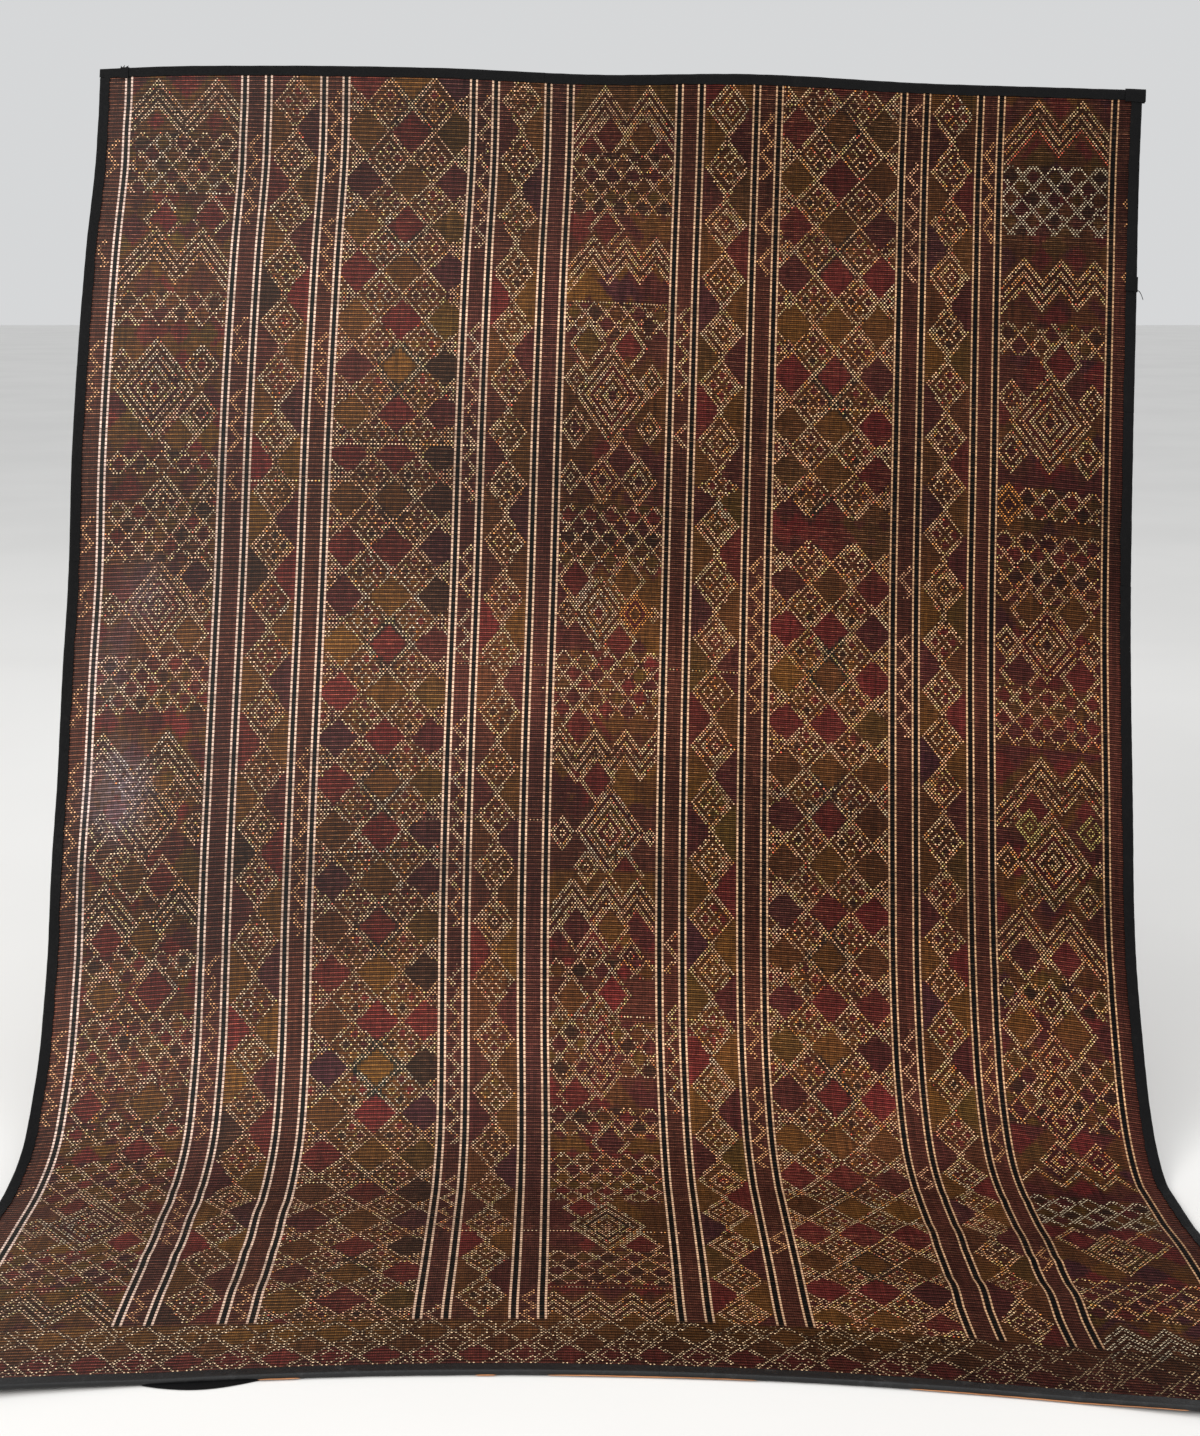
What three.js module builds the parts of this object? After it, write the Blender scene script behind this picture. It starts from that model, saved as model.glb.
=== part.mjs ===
// A reed and leather mat, held up along its top edge. It hangs with its patterned face to the
// viewer, turns forward at the bottom and lies on the floor with its front end.
// Millimetres, +Z up. The face looks along -Y. The origin is the middle of the top edge.
import * as THREE from "three";

// Driving sizes
const matWidth = 1750;
const matLength = 2440;
const weaveThickness = 4;
const leatherThickness = 1.5;
const bindingLip = 14;
const pieceGap = 0.3;
const topHeight = 1685;

// The mesh steps across and down the mat
const columnStep = 87.5;
const rowStep = 40;
const foldSteps = 2;

// How the mat hangs, one row for each section from the top edge to the front end.
// down: distance along the mat. side, out, up: the middle of the mat, out is towards the viewer
// and up is above the floor. left and right: how far the two ends of that section's reeds stand
// out and up from its middle.
const sectionColumns = ["down", "side", "out", "up", "leftOut", "leftUp", "rightOut", "rightUp"];
const sectionRows = [
  [0, 0, 0, 1685, -40, 12, 84, -36],
  [150, -4, 22, 1536, -24, 24, 86, -32],
  [340, -12, 94, 1360, -16, 22, 66, -38],
  [590, -20, 176, 1124, -4, 12, 46, -54],
  [880, -28, 256, 848, 0, 0, 44, -58],
  [1170, -36, 362, 580, -20, -20, 42, -60],
  [1420, -40, 448, 350, -14, -36, 44, -64],
  [1610, -40, 508, 172, 24, -22, 90, -52],
  [1710, -38, 560, 90, 48, -8, 104, -46],
  [1800, -36, 624, 34, 60, 2, 114, -30],
  [1900, -34, 720, 4, 66, 14, 122, -2],
  [2020, -32, 840, -6, 68, 26, 126, 20],
  [2150, -30, 970, -6, 68, 28, 128, 20],
  [2300, -28, 1120, -6, 68, 26, 128, 18],
  [2440, -20, 1260, -6, 68, 24, 124, 22],
];

// Soft ridges (rise above 0) and troughs (below 0), each a low bell over an oval
const swellColumns = ["across", "down", "halfAcross", "halfDown", "rise"];
const swellRows = [
  [150, 120, 240, 80, 10],
  [440, 430, 170, 380, -8],
  [830, 620, 220, 460, 8],
  [1190, 520, 180, 420, -8],
  [1560, 700, 200, 380, 7],
  [60, 860, 260, 190, -12],
  [80, 1330, 260, 170, 12],
  [1300, 1500, 320, 160, -8],
  [1250, 2025, 430, 62, 8],
  [430, 2010, 330, 66, 7],
  [1360, 2190, 420, 62, 10],
  [560, 2230, 360, 56, 6],
];

// How far the top edge dips between the two places where it is held, and how far down that fades
const dipColumns = ["across", "dip"];
const dipRows = [
  [0, 5],
  [160, 0],
  [560, 0],
  [850, 7],
  [1110, 0],
  [1400, 6],
  [1750, 3],
];
const dipFade = 420;

// Where one length of edge leather stops and the next one starts
const seams = {
  top: [760],
  bottom: [948],
  left: [523, 840, 1557],
  right: [328, 531, 816],
};

function namedRows(columns, rows) {
  return rows.map((row) => Object.fromEntries(columns.map((name, i) => [name, row[i]])));
}

const sections = namedRows(sectionColumns, sectionRows);
const swells = namedRows(swellColumns, swellRows);
const dips = namedRows(dipColumns, dipRows);

// Value of one column at t: a cubic through the rows, whose slope at a row is that between its neighbours
function along(rows, key, name, t) {
  const last = rows.length - 1;
  let i = 0;
  while (i < last - 1 && t >= rows[i + 1][key]) i += 1;
  const slope = (k) => {
    const before = rows[Math.max(k - 1, 0)];
    const after = rows[Math.min(k + 1, last)];
    return (after[name] - before[name]) / (after[key] - before[key]);
  };
  const span = rows[i + 1][key] - rows[i][key];
  const f = (t - rows[i][key]) / span;
  const f2 = f * f;
  const f3 = f2 * f;
  return (
    (2 * f3 - 3 * f2 + 1) * rows[i][name] +
    (f3 - 2 * f2 + f) * span * slope(i) +
    (3 * f2 - 2 * f3) * rows[i + 1][name] +
    (f3 - f2) * span * slope(i + 1)
  );
}

// Half the thickness of the mat at its bound edges, where it rests on its leather
const restMiddle = weaveThickness / 2;
const restEdge = weaveThickness / 2 + pieceGap + leatherThickness;
const restRamp = 90;

// Height of the sheet's middle where it lies on the floor: lifted a little onto the edge leather
function restHeight(across, down) {
  const inset = Math.min(across, matWidth - across, matLength - down) - bindingLip;
  const nearEdge = 1 - THREE.MathUtils.smoothstep(inset, 0, restRamp);
  return restMiddle + (restEdge - restMiddle) * nearEdge;
}

// The smooth hang without its swells: a parabola across each section, through its middle and both ends
function hangPoint(across, down) {
  const u = (2 * across) / matWidth - 1;
  const fade = Math.max(0, 1 - Math.max(down, 0) / dipFade) ** 2;
  const at = (name) => along(sections, "down", name, down);
  const [leftOut, leftUp, rightOut, rightUp] = ["leftOut", "leftUp", "rightOut", "rightUp"].map(at);
  const bowOut = (leftOut + rightOut) / 2;
  const bowUp = (leftUp + rightUp) / 2;
  const turnOut = (rightOut - leftOut) / 2;
  const turnUp = (rightUp - leftUp) / 2;
  const slant = Math.sqrt(1 - ((2 * turnOut) / matWidth) ** 2 - ((2 * turnUp) / matWidth) ** 2);
  const bowed = ((8 / 3) * (bowOut ** 2 + bowUp ** 2) * u * u) / matWidth ** 2;
  const dip = along(dips, "across", "dip", across) * fade;
  return new THREE.Vector3(
    at("side") + (u * matWidth * (slant - bowed)) / 2,
    -(at("out") + bowOut * u * u + turnOut * u),
    at("up") + bowUp * u * u + turnUp * u - dip - topHeight,
  );
}

// Unit normal of a surface on the face side, from its slopes across and down
function normalOf(surface, across, down) {
  const step = 2;
  const overAcross = surface(across + step, down).sub(surface(across - step, down));
  const overDown = surface(across, down + step).sub(surface(across, down - step));
  return overDown.cross(overAcross).normalize();
}

// Sum of the swells at one place
function swellAt(across, down) {
  return swells.reduce((sum, swell) => {
    const x = (across - swell.across) / swell.halfAcross;
    const y = (down - swell.down) / swell.halfDown;
    const r = Math.hypot(x, y);
    return r < 1 ? sum + (swell.rise * (1 + Math.cos(Math.PI * r))) / 2 : sum;
  }, 0);
}

// The middle surface of the mat: the hang, its swells and the floor it lies on
function matPoint(across, down) {
  const point = hangPoint(across, down);
  point.addScaledVector(normalOf(hangPoint, across, down), swellAt(across, down));
  point.z = Math.max(point.z, restHeight(across, down) - topHeight);
  return point;
}

function offsetPoint(across, down, offset) {
  return matPoint(across, down).addScaledVector(normalOf(matPoint, across, down), offset);
}

// A closed slab between two grids of points with equal rows and columns, faces pointing out
function slab(front, back) {
  const rows = front.length;
  const columns = front[0].length;
  const positions = [...front, ...back].flat().flatMap((point) => point.toArray());
  const frontIndex = (i, j) => i * columns + j;
  const backIndex = (i, j) => (rows + i) * columns + j;
  const triangles = [];
  const quad = (a, b, c, d) => triangles.push(a, b, c, a, c, d);
  for (let i = 0; i < rows - 1; i += 1) {
    for (let j = 0; j < columns - 1; j += 1) {
      quad(frontIndex(i, j), frontIndex(i + 1, j), frontIndex(i + 1, j + 1), frontIndex(i, j + 1));
      quad(backIndex(i, j), backIndex(i, j + 1), backIndex(i + 1, j + 1), backIndex(i + 1, j));
    }
    const right = columns - 1;
    quad(frontIndex(i, 0), backIndex(i, 0), backIndex(i + 1, 0), frontIndex(i + 1, 0));
    quad(frontIndex(i, right), frontIndex(i + 1, right), backIndex(i + 1, right), backIndex(i, right));
  }
  for (let j = 0; j < columns - 1; j += 1) {
    const end = rows - 1;
    quad(frontIndex(0, j), frontIndex(0, j + 1), backIndex(0, j + 1), backIndex(0, j));
    quad(frontIndex(end, j), backIndex(end, j), backIndex(end, j + 1), frontIndex(end, j + 1));
  }
  const geometry = new THREE.BufferGeometry();
  geometry.setAttribute("position", new THREE.Float32BufferAttribute(positions, 3));
  geometry.setIndex(triangles);
  geometry.computeVertexNormals();
  return geometry;
}

// Places from 0 to length, at most one step apart, with the named extra places among them
function places(length, step, extra) {
  const count = Math.round(length / step);
  const even = Array.from({ length: count + 1 }, (_, i) => (i * length) / count);
  const closeTo = step / 4;
  const kept = even.filter((place) => extra.every((other) => Math.abs(place - other) > closeTo));
  return [...kept, ...extra].sort((a, b) => a - b);
}

const lipEnds = (length) => [0, bindingLip, length - bindingLip, length];
const columnPlaces = places(matWidth, columnStep, [
  ...lipEnds(matWidth),
  ...seams.top,
  ...seams.bottom,
]);
const rowPlaces = places(matLength, rowStep, [
  ...lipEnds(matLength),
  ...seams.left,
  ...seams.right,
]);

// The reed and leather weave, one sheet
const weaveMaterial = new THREE.MeshStandardMaterial({ color: 0x55372a, roughness: 0.78, metalness: 0 });

function matGrid(offset) {
  return rowPlaces.map((down) => columnPlaces.map((across) => offsetPoint(across, down, offset)));
}

function wovenMat() {
  const mesh = new THREE.Mesh(slab(matGrid(weaveThickness / 2), matGrid(-weaveThickness / 2)), weaveMaterial);
  mesh.name = "woven_mat";
  return mesh;
}

// Black leather folded over an edge: a lip on the face, a round fold and a lip on the back
const leatherMaterial = new THREE.MeshStandardMaterial({ color: 0x1b1b1d, roughness: 0.5, metalness: 0 });

// Section of the folded leather as [distance in from the edge, height off the mat's middle]
function foldSection(radius) {
  const fold = Array.from({ length: foldSteps + 1 }, (_, i) => {
    const angle = Math.PI / 2 + (i * Math.PI) / foldSteps;
    return [radius * Math.cos(angle), radius * Math.sin(angle)];
  });
  return [[bindingLip, radius], ...fold, [bindingLip, -radius]];
}

const innerSection = foldSection(weaveThickness / 2 + pieceGap);
const outerSection = foldSection(weaveThickness / 2 + pieceGap + leatherThickness);

// Each edge: how a place along it and a distance in from it become a place on the mat
const edges = {
  top: { place: (run, inset) => [run, inset], facing: 1 },
  bottom: { place: (run, inset) => [run, matLength - inset], facing: -1 },
  left: { place: (run, inset) => [inset, run], facing: -1 },
  right: { place: (run, inset) => [matWidth - inset, run], facing: 1 },
};

function bindingLength(name, edge, runs) {
  const rows = (section) =>
    runs.map((run) => section.map(([inset, offset]) => offsetPoint(...edge.place(run, inset), offset)));
  const outer = rows(outerSection);
  const inner = rows(innerSection);
  const outward = edge.facing > 0 ? (grid) => grid : (grid) => grid.map((row) => [...row].reverse());
  const mesh = new THREE.Mesh(slab(outward(outer), outward(inner)), leatherMaterial);
  mesh.name = name;
  return mesh;
}

// The lengths of leather along one edge, parted by a gap at each seam
function bindingLengths(edgeName, names, start, end, runPlaces) {
  const bounds = [start, ...seams[edgeName], end];
  return names.map((name, i) => {
    const from = i === 0 ? start : bounds[i] + pieceGap / 2;
    const to = i === names.length - 1 ? end : bounds[i + 1] - pieceGap / 2;
    const between = runPlaces.filter((place) => place > from + 1 && place < to - 1);
    return bindingLength(name, edges[edgeName], [from, ...between, to]);
  });
}

const cornerReach = weaveThickness / 2 + pieceGap + leatherThickness;
const sideStart = bindingLip + pieceGap;
const sideEnd = matLength - bindingLip - pieceGap;
const numbered = (stem) => [1, 2, 3, 4].map((i) => `${stem}_${i}`);

const mat = new THREE.Group();
mat.add(
  wovenMat(),
  ...bindingLengths(
    "top",
    ["binding_top_left", "binding_top_right"],
    -cornerReach,
    matWidth + cornerReach,
    columnPlaces,
  ),
  ...bindingLengths("left", numbered("binding_left"), sideStart, sideEnd, rowPlaces),
  ...bindingLengths("right", numbered("binding_right"), sideStart, sideEnd, rowPlaces),
  ...bindingLengths(
    "bottom",
    ["binding_bottom_left", "binding_bottom_right"],
    -cornerReach,
    matWidth + cornerReach,
    columnPlaces,
  ),
);

export default mat;
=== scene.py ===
# %% [markdown]
# # A woven reed and leather mat, held up and swept onto the floor
# The real mat is a warp of straight reeds, laid side by side across the width. Thin strips of dyed
# leather run down it and pass over and under the reeds. Where a strip dips under a reed, a short
# light piece of reed shows, and rows of such dots draw stripes, diamonds and zigzags. All four
# edges are bound in folded black leather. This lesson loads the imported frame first, so that every
# new surface can be set exactly where the solid model is.

# %% Load the frame
import math

import bpy
import numpy as np
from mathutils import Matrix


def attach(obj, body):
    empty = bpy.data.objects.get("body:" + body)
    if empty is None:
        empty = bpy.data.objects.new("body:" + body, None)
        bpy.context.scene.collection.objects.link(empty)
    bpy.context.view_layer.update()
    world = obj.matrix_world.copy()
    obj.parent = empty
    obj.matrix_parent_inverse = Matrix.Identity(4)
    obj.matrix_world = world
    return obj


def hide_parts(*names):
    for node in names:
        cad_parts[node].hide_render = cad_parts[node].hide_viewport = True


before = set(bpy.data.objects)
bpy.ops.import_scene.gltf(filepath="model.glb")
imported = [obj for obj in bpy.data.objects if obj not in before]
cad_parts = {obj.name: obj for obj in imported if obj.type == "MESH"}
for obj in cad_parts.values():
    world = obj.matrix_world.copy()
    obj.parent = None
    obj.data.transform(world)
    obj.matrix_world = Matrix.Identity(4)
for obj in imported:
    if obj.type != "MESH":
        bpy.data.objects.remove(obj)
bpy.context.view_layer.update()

# %% [markdown]
# ## Camera
# The mat is held up about 1.7 metres high, and its foot comes towards the viewer.
# The camera stands in front of it, 1.34 metres above the floor, and looks down by twelve degrees.

# %% Camera
MM = 0.001
camera_data = bpy.data.cameras.new("camera")
camera_data.lens = 50.0
camera_data.sensor_width = 36.0
camera = bpy.data.objects.new("camera", camera_data)
camera.location = (-0.0215, -3.528, -0.344)
camera_pitch = 12.352
camera.rotation_euler = (math.radians(90 - camera_pitch), 0, 0)
bpy.context.scene.collection.objects.link(camera)
bpy.context.scene.camera = camera
bpy.context.scene.view_settings.view_transform = "Standard"
print("camera at", tuple(round(v, 3) for v in camera.location))

# %% [markdown]
# ## The surface that everything follows
# A cloth that hangs has two natural directions, across and down. The shape is given by a few
# sections from the held edge to the front end: where the middle of the section is, and how far its
# two ends stand out and up. A smooth curve through the rows gives every place between them.
# The numbers are those of the part's source, in millimetres.

# %% Driving sizes and sections
mat_width = 1750.0
mat_length = 2440.0
top_height = 1685.0
weave_thickness = 4.0
leather_thickness = 1.5
binding_lip = 14.0
piece_gap = 0.3
# how far the folded leather reaches beyond the mat's middle surface and its edge
leather_reach = weave_thickness / 2 + piece_gap + leather_thickness

# down, side, out, up, left out, left up, right out, right up
sections = np.array([
    [0, 0, 0, 1685, -40, 12, 84, -36],
    [150, -4, 22, 1536, -24, 24, 86, -32],
    [340, -12, 94, 1360, -16, 22, 66, -38],
    [590, -20, 176, 1124, -4, 12, 46, -54],
    [880, -28, 256, 848, 0, 0, 44, -58],
    [1170, -36, 362, 580, -20, -20, 42, -60],
    [1420, -40, 448, 350, -14, -36, 44, -64],
    [1610, -40, 508, 172, 24, -22, 90, -52],
    [1710, -38, 560, 90, 48, -8, 104, -46],
    [1800, -36, 624, 34, 60, 2, 114, -30],
    [1900, -34, 720, 4, 66, 14, 122, -2],
    [2020, -32, 840, -6, 68, 26, 126, 20],
    [2150, -30, 970, -6, 68, 28, 128, 20],
    [2300, -28, 1120, -6, 68, 26, 128, 18],
    [2440, -20, 1260, -6, 68, 24, 124, 22],
], float)

# across, down, half across, half down, rise of each soft ridge or trough
swells = [
    [150, 120, 240, 80, 10],
    [440, 430, 170, 380, -8],
    [830, 620, 220, 460, 8],
    [1190, 520, 180, 420, -8],
    [1560, 700, 200, 380, 7],
    [60, 860, 260, 190, -12],
    [80, 1330, 260, 170, 12],
    [1300, 1500, 320, 160, -8],
    [1250, 2025, 430, 62, 8],
    [430, 2010, 330, 66, 7],
    [1360, 2190, 420, 62, 10],
    [560, 2230, 360, 56, 6],
]
dips = np.array([[0, 5], [160, 0], [560, 0], [850, 7], [1110, 0], [1400, 6], [1750, 3]], float)
dip_fade = 420.0
print("sections:", len(sections), "swells:", len(swells))


# %% Curves through the sections
def along(keys, values, t):
    """Cubic through the rows: each row's slope is that between its two neighbours."""
    last = len(keys) - 1
    before = np.maximum(np.arange(last + 1) - 1, 0)
    after = np.minimum(np.arange(last + 1) + 1, last)
    slopes = (values[after] - values[before]) / (keys[after] - keys[before])
    i = np.clip(np.searchsorted(keys, t, side="right") - 1, 0, last - 1)
    span = keys[i + 1] - keys[i]
    f = (t - keys[i]) / span
    f2 = f * f
    f3 = f2 * f
    return (
        (2 * f3 - 3 * f2 + 1) * values[i]
        + (f3 - 2 * f2 + f) * span * slopes[i]
        + (3 * f2 - 2 * f3) * values[i + 1]
        + (f3 - f2) * span * slopes[i + 1]
    )


def hang_point(across, down):
    """The smooth hang: middle of the section, plus a parabola and a turn across it.

    u runs from -1 to 1 across the mat. The ends stand out by bow + turn and bow - turn, and the
    section is drawn in sideways by as much as its slant and its bow use up.
    """
    across, down = np.broadcast_arrays(np.asarray(across, float), np.asarray(down, float))
    u = 2 * across / mat_width - 1
    side, out, up, left_out, left_up, right_out, right_up = (
        along(sections[:, 0], sections[:, k], down) for k in range(1, 8)
    )
    bow_out = (left_out + right_out) / 2
    bow_up = (left_up + right_up) / 2
    turn_out = (right_out - left_out) / 2
    turn_up = (right_up - left_up) / 2
    slant = np.sqrt(1 - (2 * turn_out / mat_width) ** 2 - (2 * turn_up / mat_width) ** 2)
    bowed = (8 / 3) * (bow_out**2 + bow_up**2) * u * u / mat_width**2
    fade = np.maximum(0, 1 - np.maximum(down, 0) / dip_fade) ** 2
    dip = along(dips[:, 0], dips[:, 1], across) * fade
    x = side + u * mat_width * (slant - bowed) / 2
    y = -(out + bow_out * u * u + turn_out * u)
    z = up + bow_up * u * u + turn_up * u - dip - top_height
    return np.stack([x, y, z], axis=-1)


def unit_normal(surface, across, down):
    """Step down crossed with step across, two millimetres each way, at length one."""
    step = 2.0
    over_across = surface(across + step, down) - surface(across - step, down)
    over_down = surface(across, down + step) - surface(across, down - step)
    normal = np.cross(over_down, over_across)
    return normal / np.linalg.norm(normal, axis=-1, keepdims=True)


print("top left corner:", hang_point(0, 0).round(1))

# %% [markdown]
# ## Ridges, creases and the floor
# A mat of reeds doesn't fold like cloth, but it is never quite even. Soft bells add ridges and
# troughs over ovals. Longer, narrow ones are the creases near the foot, where the reeds are pushed
# together. Where the mat lies down, its middle can't go below half its thickness over the floor,
# and it is lifted a little onto the edge leather.

# %% Swells and rest height
# across, down, half across, half down, turn in degrees, rise
creases = [
    [1420, 1905, 300, 26, -3, 3.0],
    [1500, 2085, 260, 24, 2, 3.5],
    [1180, 2118, 280, 22, -2, 2.5],
    [260, 1925, 230, 24, 3, 2.5],
    [330, 2120, 250, 26, -3, 3.0],
    [820, 2090, 240, 22, 1, 2.0],
    [1610, 1470, 200, 28, -4, 4.0],
    [1560, 1560, 180, 30, 3, -3.0],
    [180, 1480, 190, 30, 4, -3.0],
    [300, 700, 60, 520, 0, -2.5],
    [980, 900, 60, 600, 1, 2.5],
    [640, 1250, 70, 420, -1, -2.0],
]
lifted_border = 90.0


def bell(r):
    """1 at the middle and 0 from r = 1 on, along a raised cosine."""
    return np.where(r < 1, (1 + np.cos(np.pi * np.minimum(r, 1))) / 2, 0)


def swell_at(across, down):
    """Sum of the bells, each its rise times a raised cosine of the distance in its oval."""
    total = np.zeros(np.broadcast(across, down).shape)
    for middle, low, half_across, half_down, rise in swells:
        r = np.hypot((across - middle) / half_across, (down - low) / half_down)
        total = total + rise * bell(r)
    for middle, low, half_across, half_down, turn, rise in creases:
        c = math.cos(math.radians(turn))
        s = math.sin(math.radians(turn))
        x = (across - middle) * c + (down - low) * s
        y = (down - low) * c - (across - middle) * s
        total = total + rise * bell(np.hypot(x / half_across, y / half_down))
    return total


def rest_height(across, down):
    """Half the weave, and by a smooth step as much as the leather needs near the bound edges."""
    inset = np.minimum(np.minimum(across, mat_width - across), mat_length - down) - binding_lip
    t = np.clip(inset / lifted_border, 0, 1)
    near_edge = 1 - t * t * (3 - 2 * t)
    middle = weave_thickness / 2
    return middle + (leather_reach - middle) * near_edge


def mat_point(across, down):
    """The hang, moved along its normal by the swells, and kept above the floor."""
    point = hang_point(across, down)
    point = point + unit_normal(hang_point, across, down) * swell_at(across, down)[..., None]
    point[..., 2] = np.maximum(point[..., 2], rest_height(across, down) - top_height)
    return point


def offset_point(across, down, offset):
    """A place at a distance off the mat's middle surface, plus on the face side."""
    across = np.asarray(across, float)
    down = np.asarray(down, float)
    normal = unit_normal(mat_point, across, down)
    return mat_point(across, down) + normal * np.asarray(offset, float)[..., None]


print("front end, middle:", mat_point(np.array(875.0), np.array(2440.0)).round(1))

# %% [markdown]
# ## Counting strips and reeds
# The weave is a grid. A leather strip is 2.5 to 3 mm wide and a reed 3.5 mm thick, and there are 700
# reeds. Every second reed lies a little higher, so the cloth shows ribs seven millimetres apart. The
# pattern is counted in cells, one strip by one reed, as a weaver counts it. Two strips side by side
# make a column of the mesh. The stripes are set at their own places, each with a black column and
# a light one on both sides, and the room between two stripes is shared evenly.

# %% Columns, strips and reeds
reed_count = 700
reed_pitch = mat_length / reed_count
light_width = 4.3
black_width = 6.0
black_places = [
    47.2, 247.1, 287.9, 383.1, 421.3, 639.5, 677.4, 766.7, 804.7,
    989.4, 1026.4, 1119.7, 1157.8, 1364.9, 1402.9, 1491.4, 1525.7, 1710.5,
]
# two strips side by side, in each space between two black stripes: the middle band is the finest
column_widths = [
    5.4, 5.6, 5.4, 5.85, 5.4, 5.8, 5.4, 5.7, 5.4, 5.04, 5.4, 5.8, 5.4, 5.8, 5.4, 5.7, 5.4, 5.5, 5.4,
]
column_edges = [0.0]
black_columns = []
for place, column_width in zip(black_places + [mat_width], column_widths):
    is_stripe = place < mat_width
    start = place - black_width / 2 - light_width if is_stripe else place
    count = round((start - column_edges[-1]) / column_width)
    if not is_stripe:
        # an even number in all, since the back joins its columns two by two
        count += (len(column_edges) - 1 + count) % 2
    column_edges += list(np.linspace(column_edges[-1], start, count + 1)[1:])
    if is_stripe:
        black_columns.append(len(column_edges))
        stripe = np.cumsum([light_width, black_width, light_width])
        column_edges += list(start + stripe)
column_edges = np.array(column_edges)
column_count = len(column_edges) - 1
strip_count = 2 * column_count
strip_edges = np.interp(np.arange(strip_count + 1) / 2, np.arange(column_count + 1), column_edges)

band_names = [
    "left_margin", "a", "n1", "b", "n2", "c", "n3", "d", "n4", "e",
    "n5", "f", "n6", "g", "n7", "h", "n8", "i", "right_margin",
]
band_starts = [0] + [2 * k + 4 for k in black_columns]
band_ends = [2 * k - 2 for k in black_columns] + [strip_count]
bands = dict(zip(band_names, zip(band_starts, band_ends)))
print("columns:", column_count, "black columns:", black_columns)
print("strips per band:", {name: end - start for name, (start, end) in bands.items()})

# %% The chart's arrays
def strip_at(place):
    """Strip number, with its fraction, at a place across the mat."""
    return np.interp(place, strip_edges, np.arange(strip_count + 1))


def place_at(strips):
    """Place across the mat of a strip number with its fraction."""
    return np.interp(strips, np.arange(strip_count + 1), strip_edges)


# middles of the cells, in strips and reeds, and in millimetres
strip, reed = np.meshgrid(np.arange(strip_count) + 0.5, np.arange(reed_count) + 0.5)
down = reed * reed_pitch
across = place_at(strip)
# in a plain weave, a reed can only show in every second cell of a row, like one colour of a chessboard
may_show = (np.floor(strip) + np.floor(reed)) % 2 == 0
print("cells in the chart:", may_show.size)


# %% Dyes and reed colours
def linear(colour):
    """Screen colour from 0 to 255 as linear light, by the sRGB curve."""
    c = np.asarray(colour, float) / 255
    return np.where(c <= 0.04045, c / 12.92, ((c + 0.055) / 1.055) ** 2.4)


dyes = {
    "ground": (88, 48, 36),
    "brown": (98, 62, 30),
    "maroon": (84, 38, 36),
    "red": (113, 41, 38),
    "plum": (72, 38, 42),
    "gold": (115, 78, 31),
    "olive": (96, 73, 28),
    "dark": (50, 38, 26),
    "green": (22, 36, 28),
    "shadow": (28, 15, 10),
    "black": (12, 16, 14),
}
dyes = {name: linear(colour) for name, colour in dyes.items()}
yarns = {
    "cream": (255, 224, 176),
    "pink": (255, 198, 154),
    "green": (226, 208, 128),
    "orange": (250, 172, 92),
    "grey": (224, 212, 182),
    "red": (232, 110, 84),
    "dull": (246, 186, 128),
}
yarns = {name: linear(colour) for name, colour in yarns.items()}

leather = np.empty((reed_count, strip_count, 3))
leather[:] = dyes["ground"]
straw = np.empty((reed_count, strip_count, 3))
straw[:] = yarns["cream"]
raised = np.zeros((reed_count, strip_count), bool)
letters = {
    "r": "red", "g": "gold", "m": "maroon", "p": "plum", "o": "olive", "d": "dark", "b": "brown",
    "n": "ground",
}
dye_of = {letter: dyes[name] for letter, name in letters.items()}
print("dyes:", len(dyes), "reed colours:", len(yarns))

# %% [markdown]
# ## Motifs
# Every motif is a rule about cells. A line of dots moves by one strip for each reed, and most lines
# are double, two strips apart. So a diamond is the set of cells whose steps across plus steps down
# are the same, and a zigzag is the distance to the nearest of its peaks. Each rule writes into the
# chart: the dye of the leather, and whether a reed shows.

# %% Places in the chart
def cell_at(place, low):
    """Middle of the nearest cell in which a reed may show."""
    row = math.floor(low / reed_pitch)
    cell = math.floor(strip_at(place))
    cell += (cell + row) % 2
    return cell + 0.5, row + 0.5


def steps_from(x, y):
    """Steps across plus steps down from one cell to every other."""
    return np.rint(np.abs(strip - x) + np.abs(reed - y))


def in_band(band, start=0.0, end=mat_length):
    """Cells of one band between two distances down."""
    first, last = bands[band]
    return (strip > first) & (strip < last) & (down >= start) & (down < end)


print("cells in the middle band:", int(in_band("e").sum()))

# %% Dots and plain leather
# about one dot in seventeen is worn away
worn_away = np.random.default_rng(5).random(raised.shape) < 0.06


def dot(cells, yarn=None):
    """Reeds show in these cells, where they can, and the leather of the whole line is darker."""
    shown = cells & may_show & ~worn_away
    raised[shown] = True
    leather[cells] = leather[cells] * 0.5 + dyes["shadow"] * 0.5
    if yarn:
        straw[shown] = yarns[yarn]


def plain(cells, dye=None):
    """No reed shows in these cells, and they may get a dye."""
    raised[cells] = False
    if dye:
        leather[cells] = dyes[dye]


print("dots worn away:", int((worn_away & may_show).sum()))


# %% Patches, diamonds and rings
patch_reeds = 11
patch_strips = 7


def saw(value, half):
    """Rises and falls by one for each step, and turns back every half steps, with zero mean."""
    return np.abs(value % (2 * half) - half) - half / 2


def patch(band, start, end, colours):
    """Side by side areas of ground colour, one for each letter.

    Their borders move by one strip for each reed, and turn back like the teeth of a saw.
    """
    first, last = bands[band]
    tooth = saw(reed - start / reed_pitch, patch_reeds)
    low = down + saw(strip - first, patch_strips) * reed_pitch
    share = (strip - first + tooth) / (last - first) * len(colours)
    inside = in_band(band) & (low >= start) & (low < end)
    for k, letter in enumerate(colours):
        lowest = k if k else -np.inf
        highest = k + 1 if k < len(colours) - 1 else np.inf
        leather[inside & (share >= lowest) & (share < highest)] = dye_of[letter]


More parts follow.
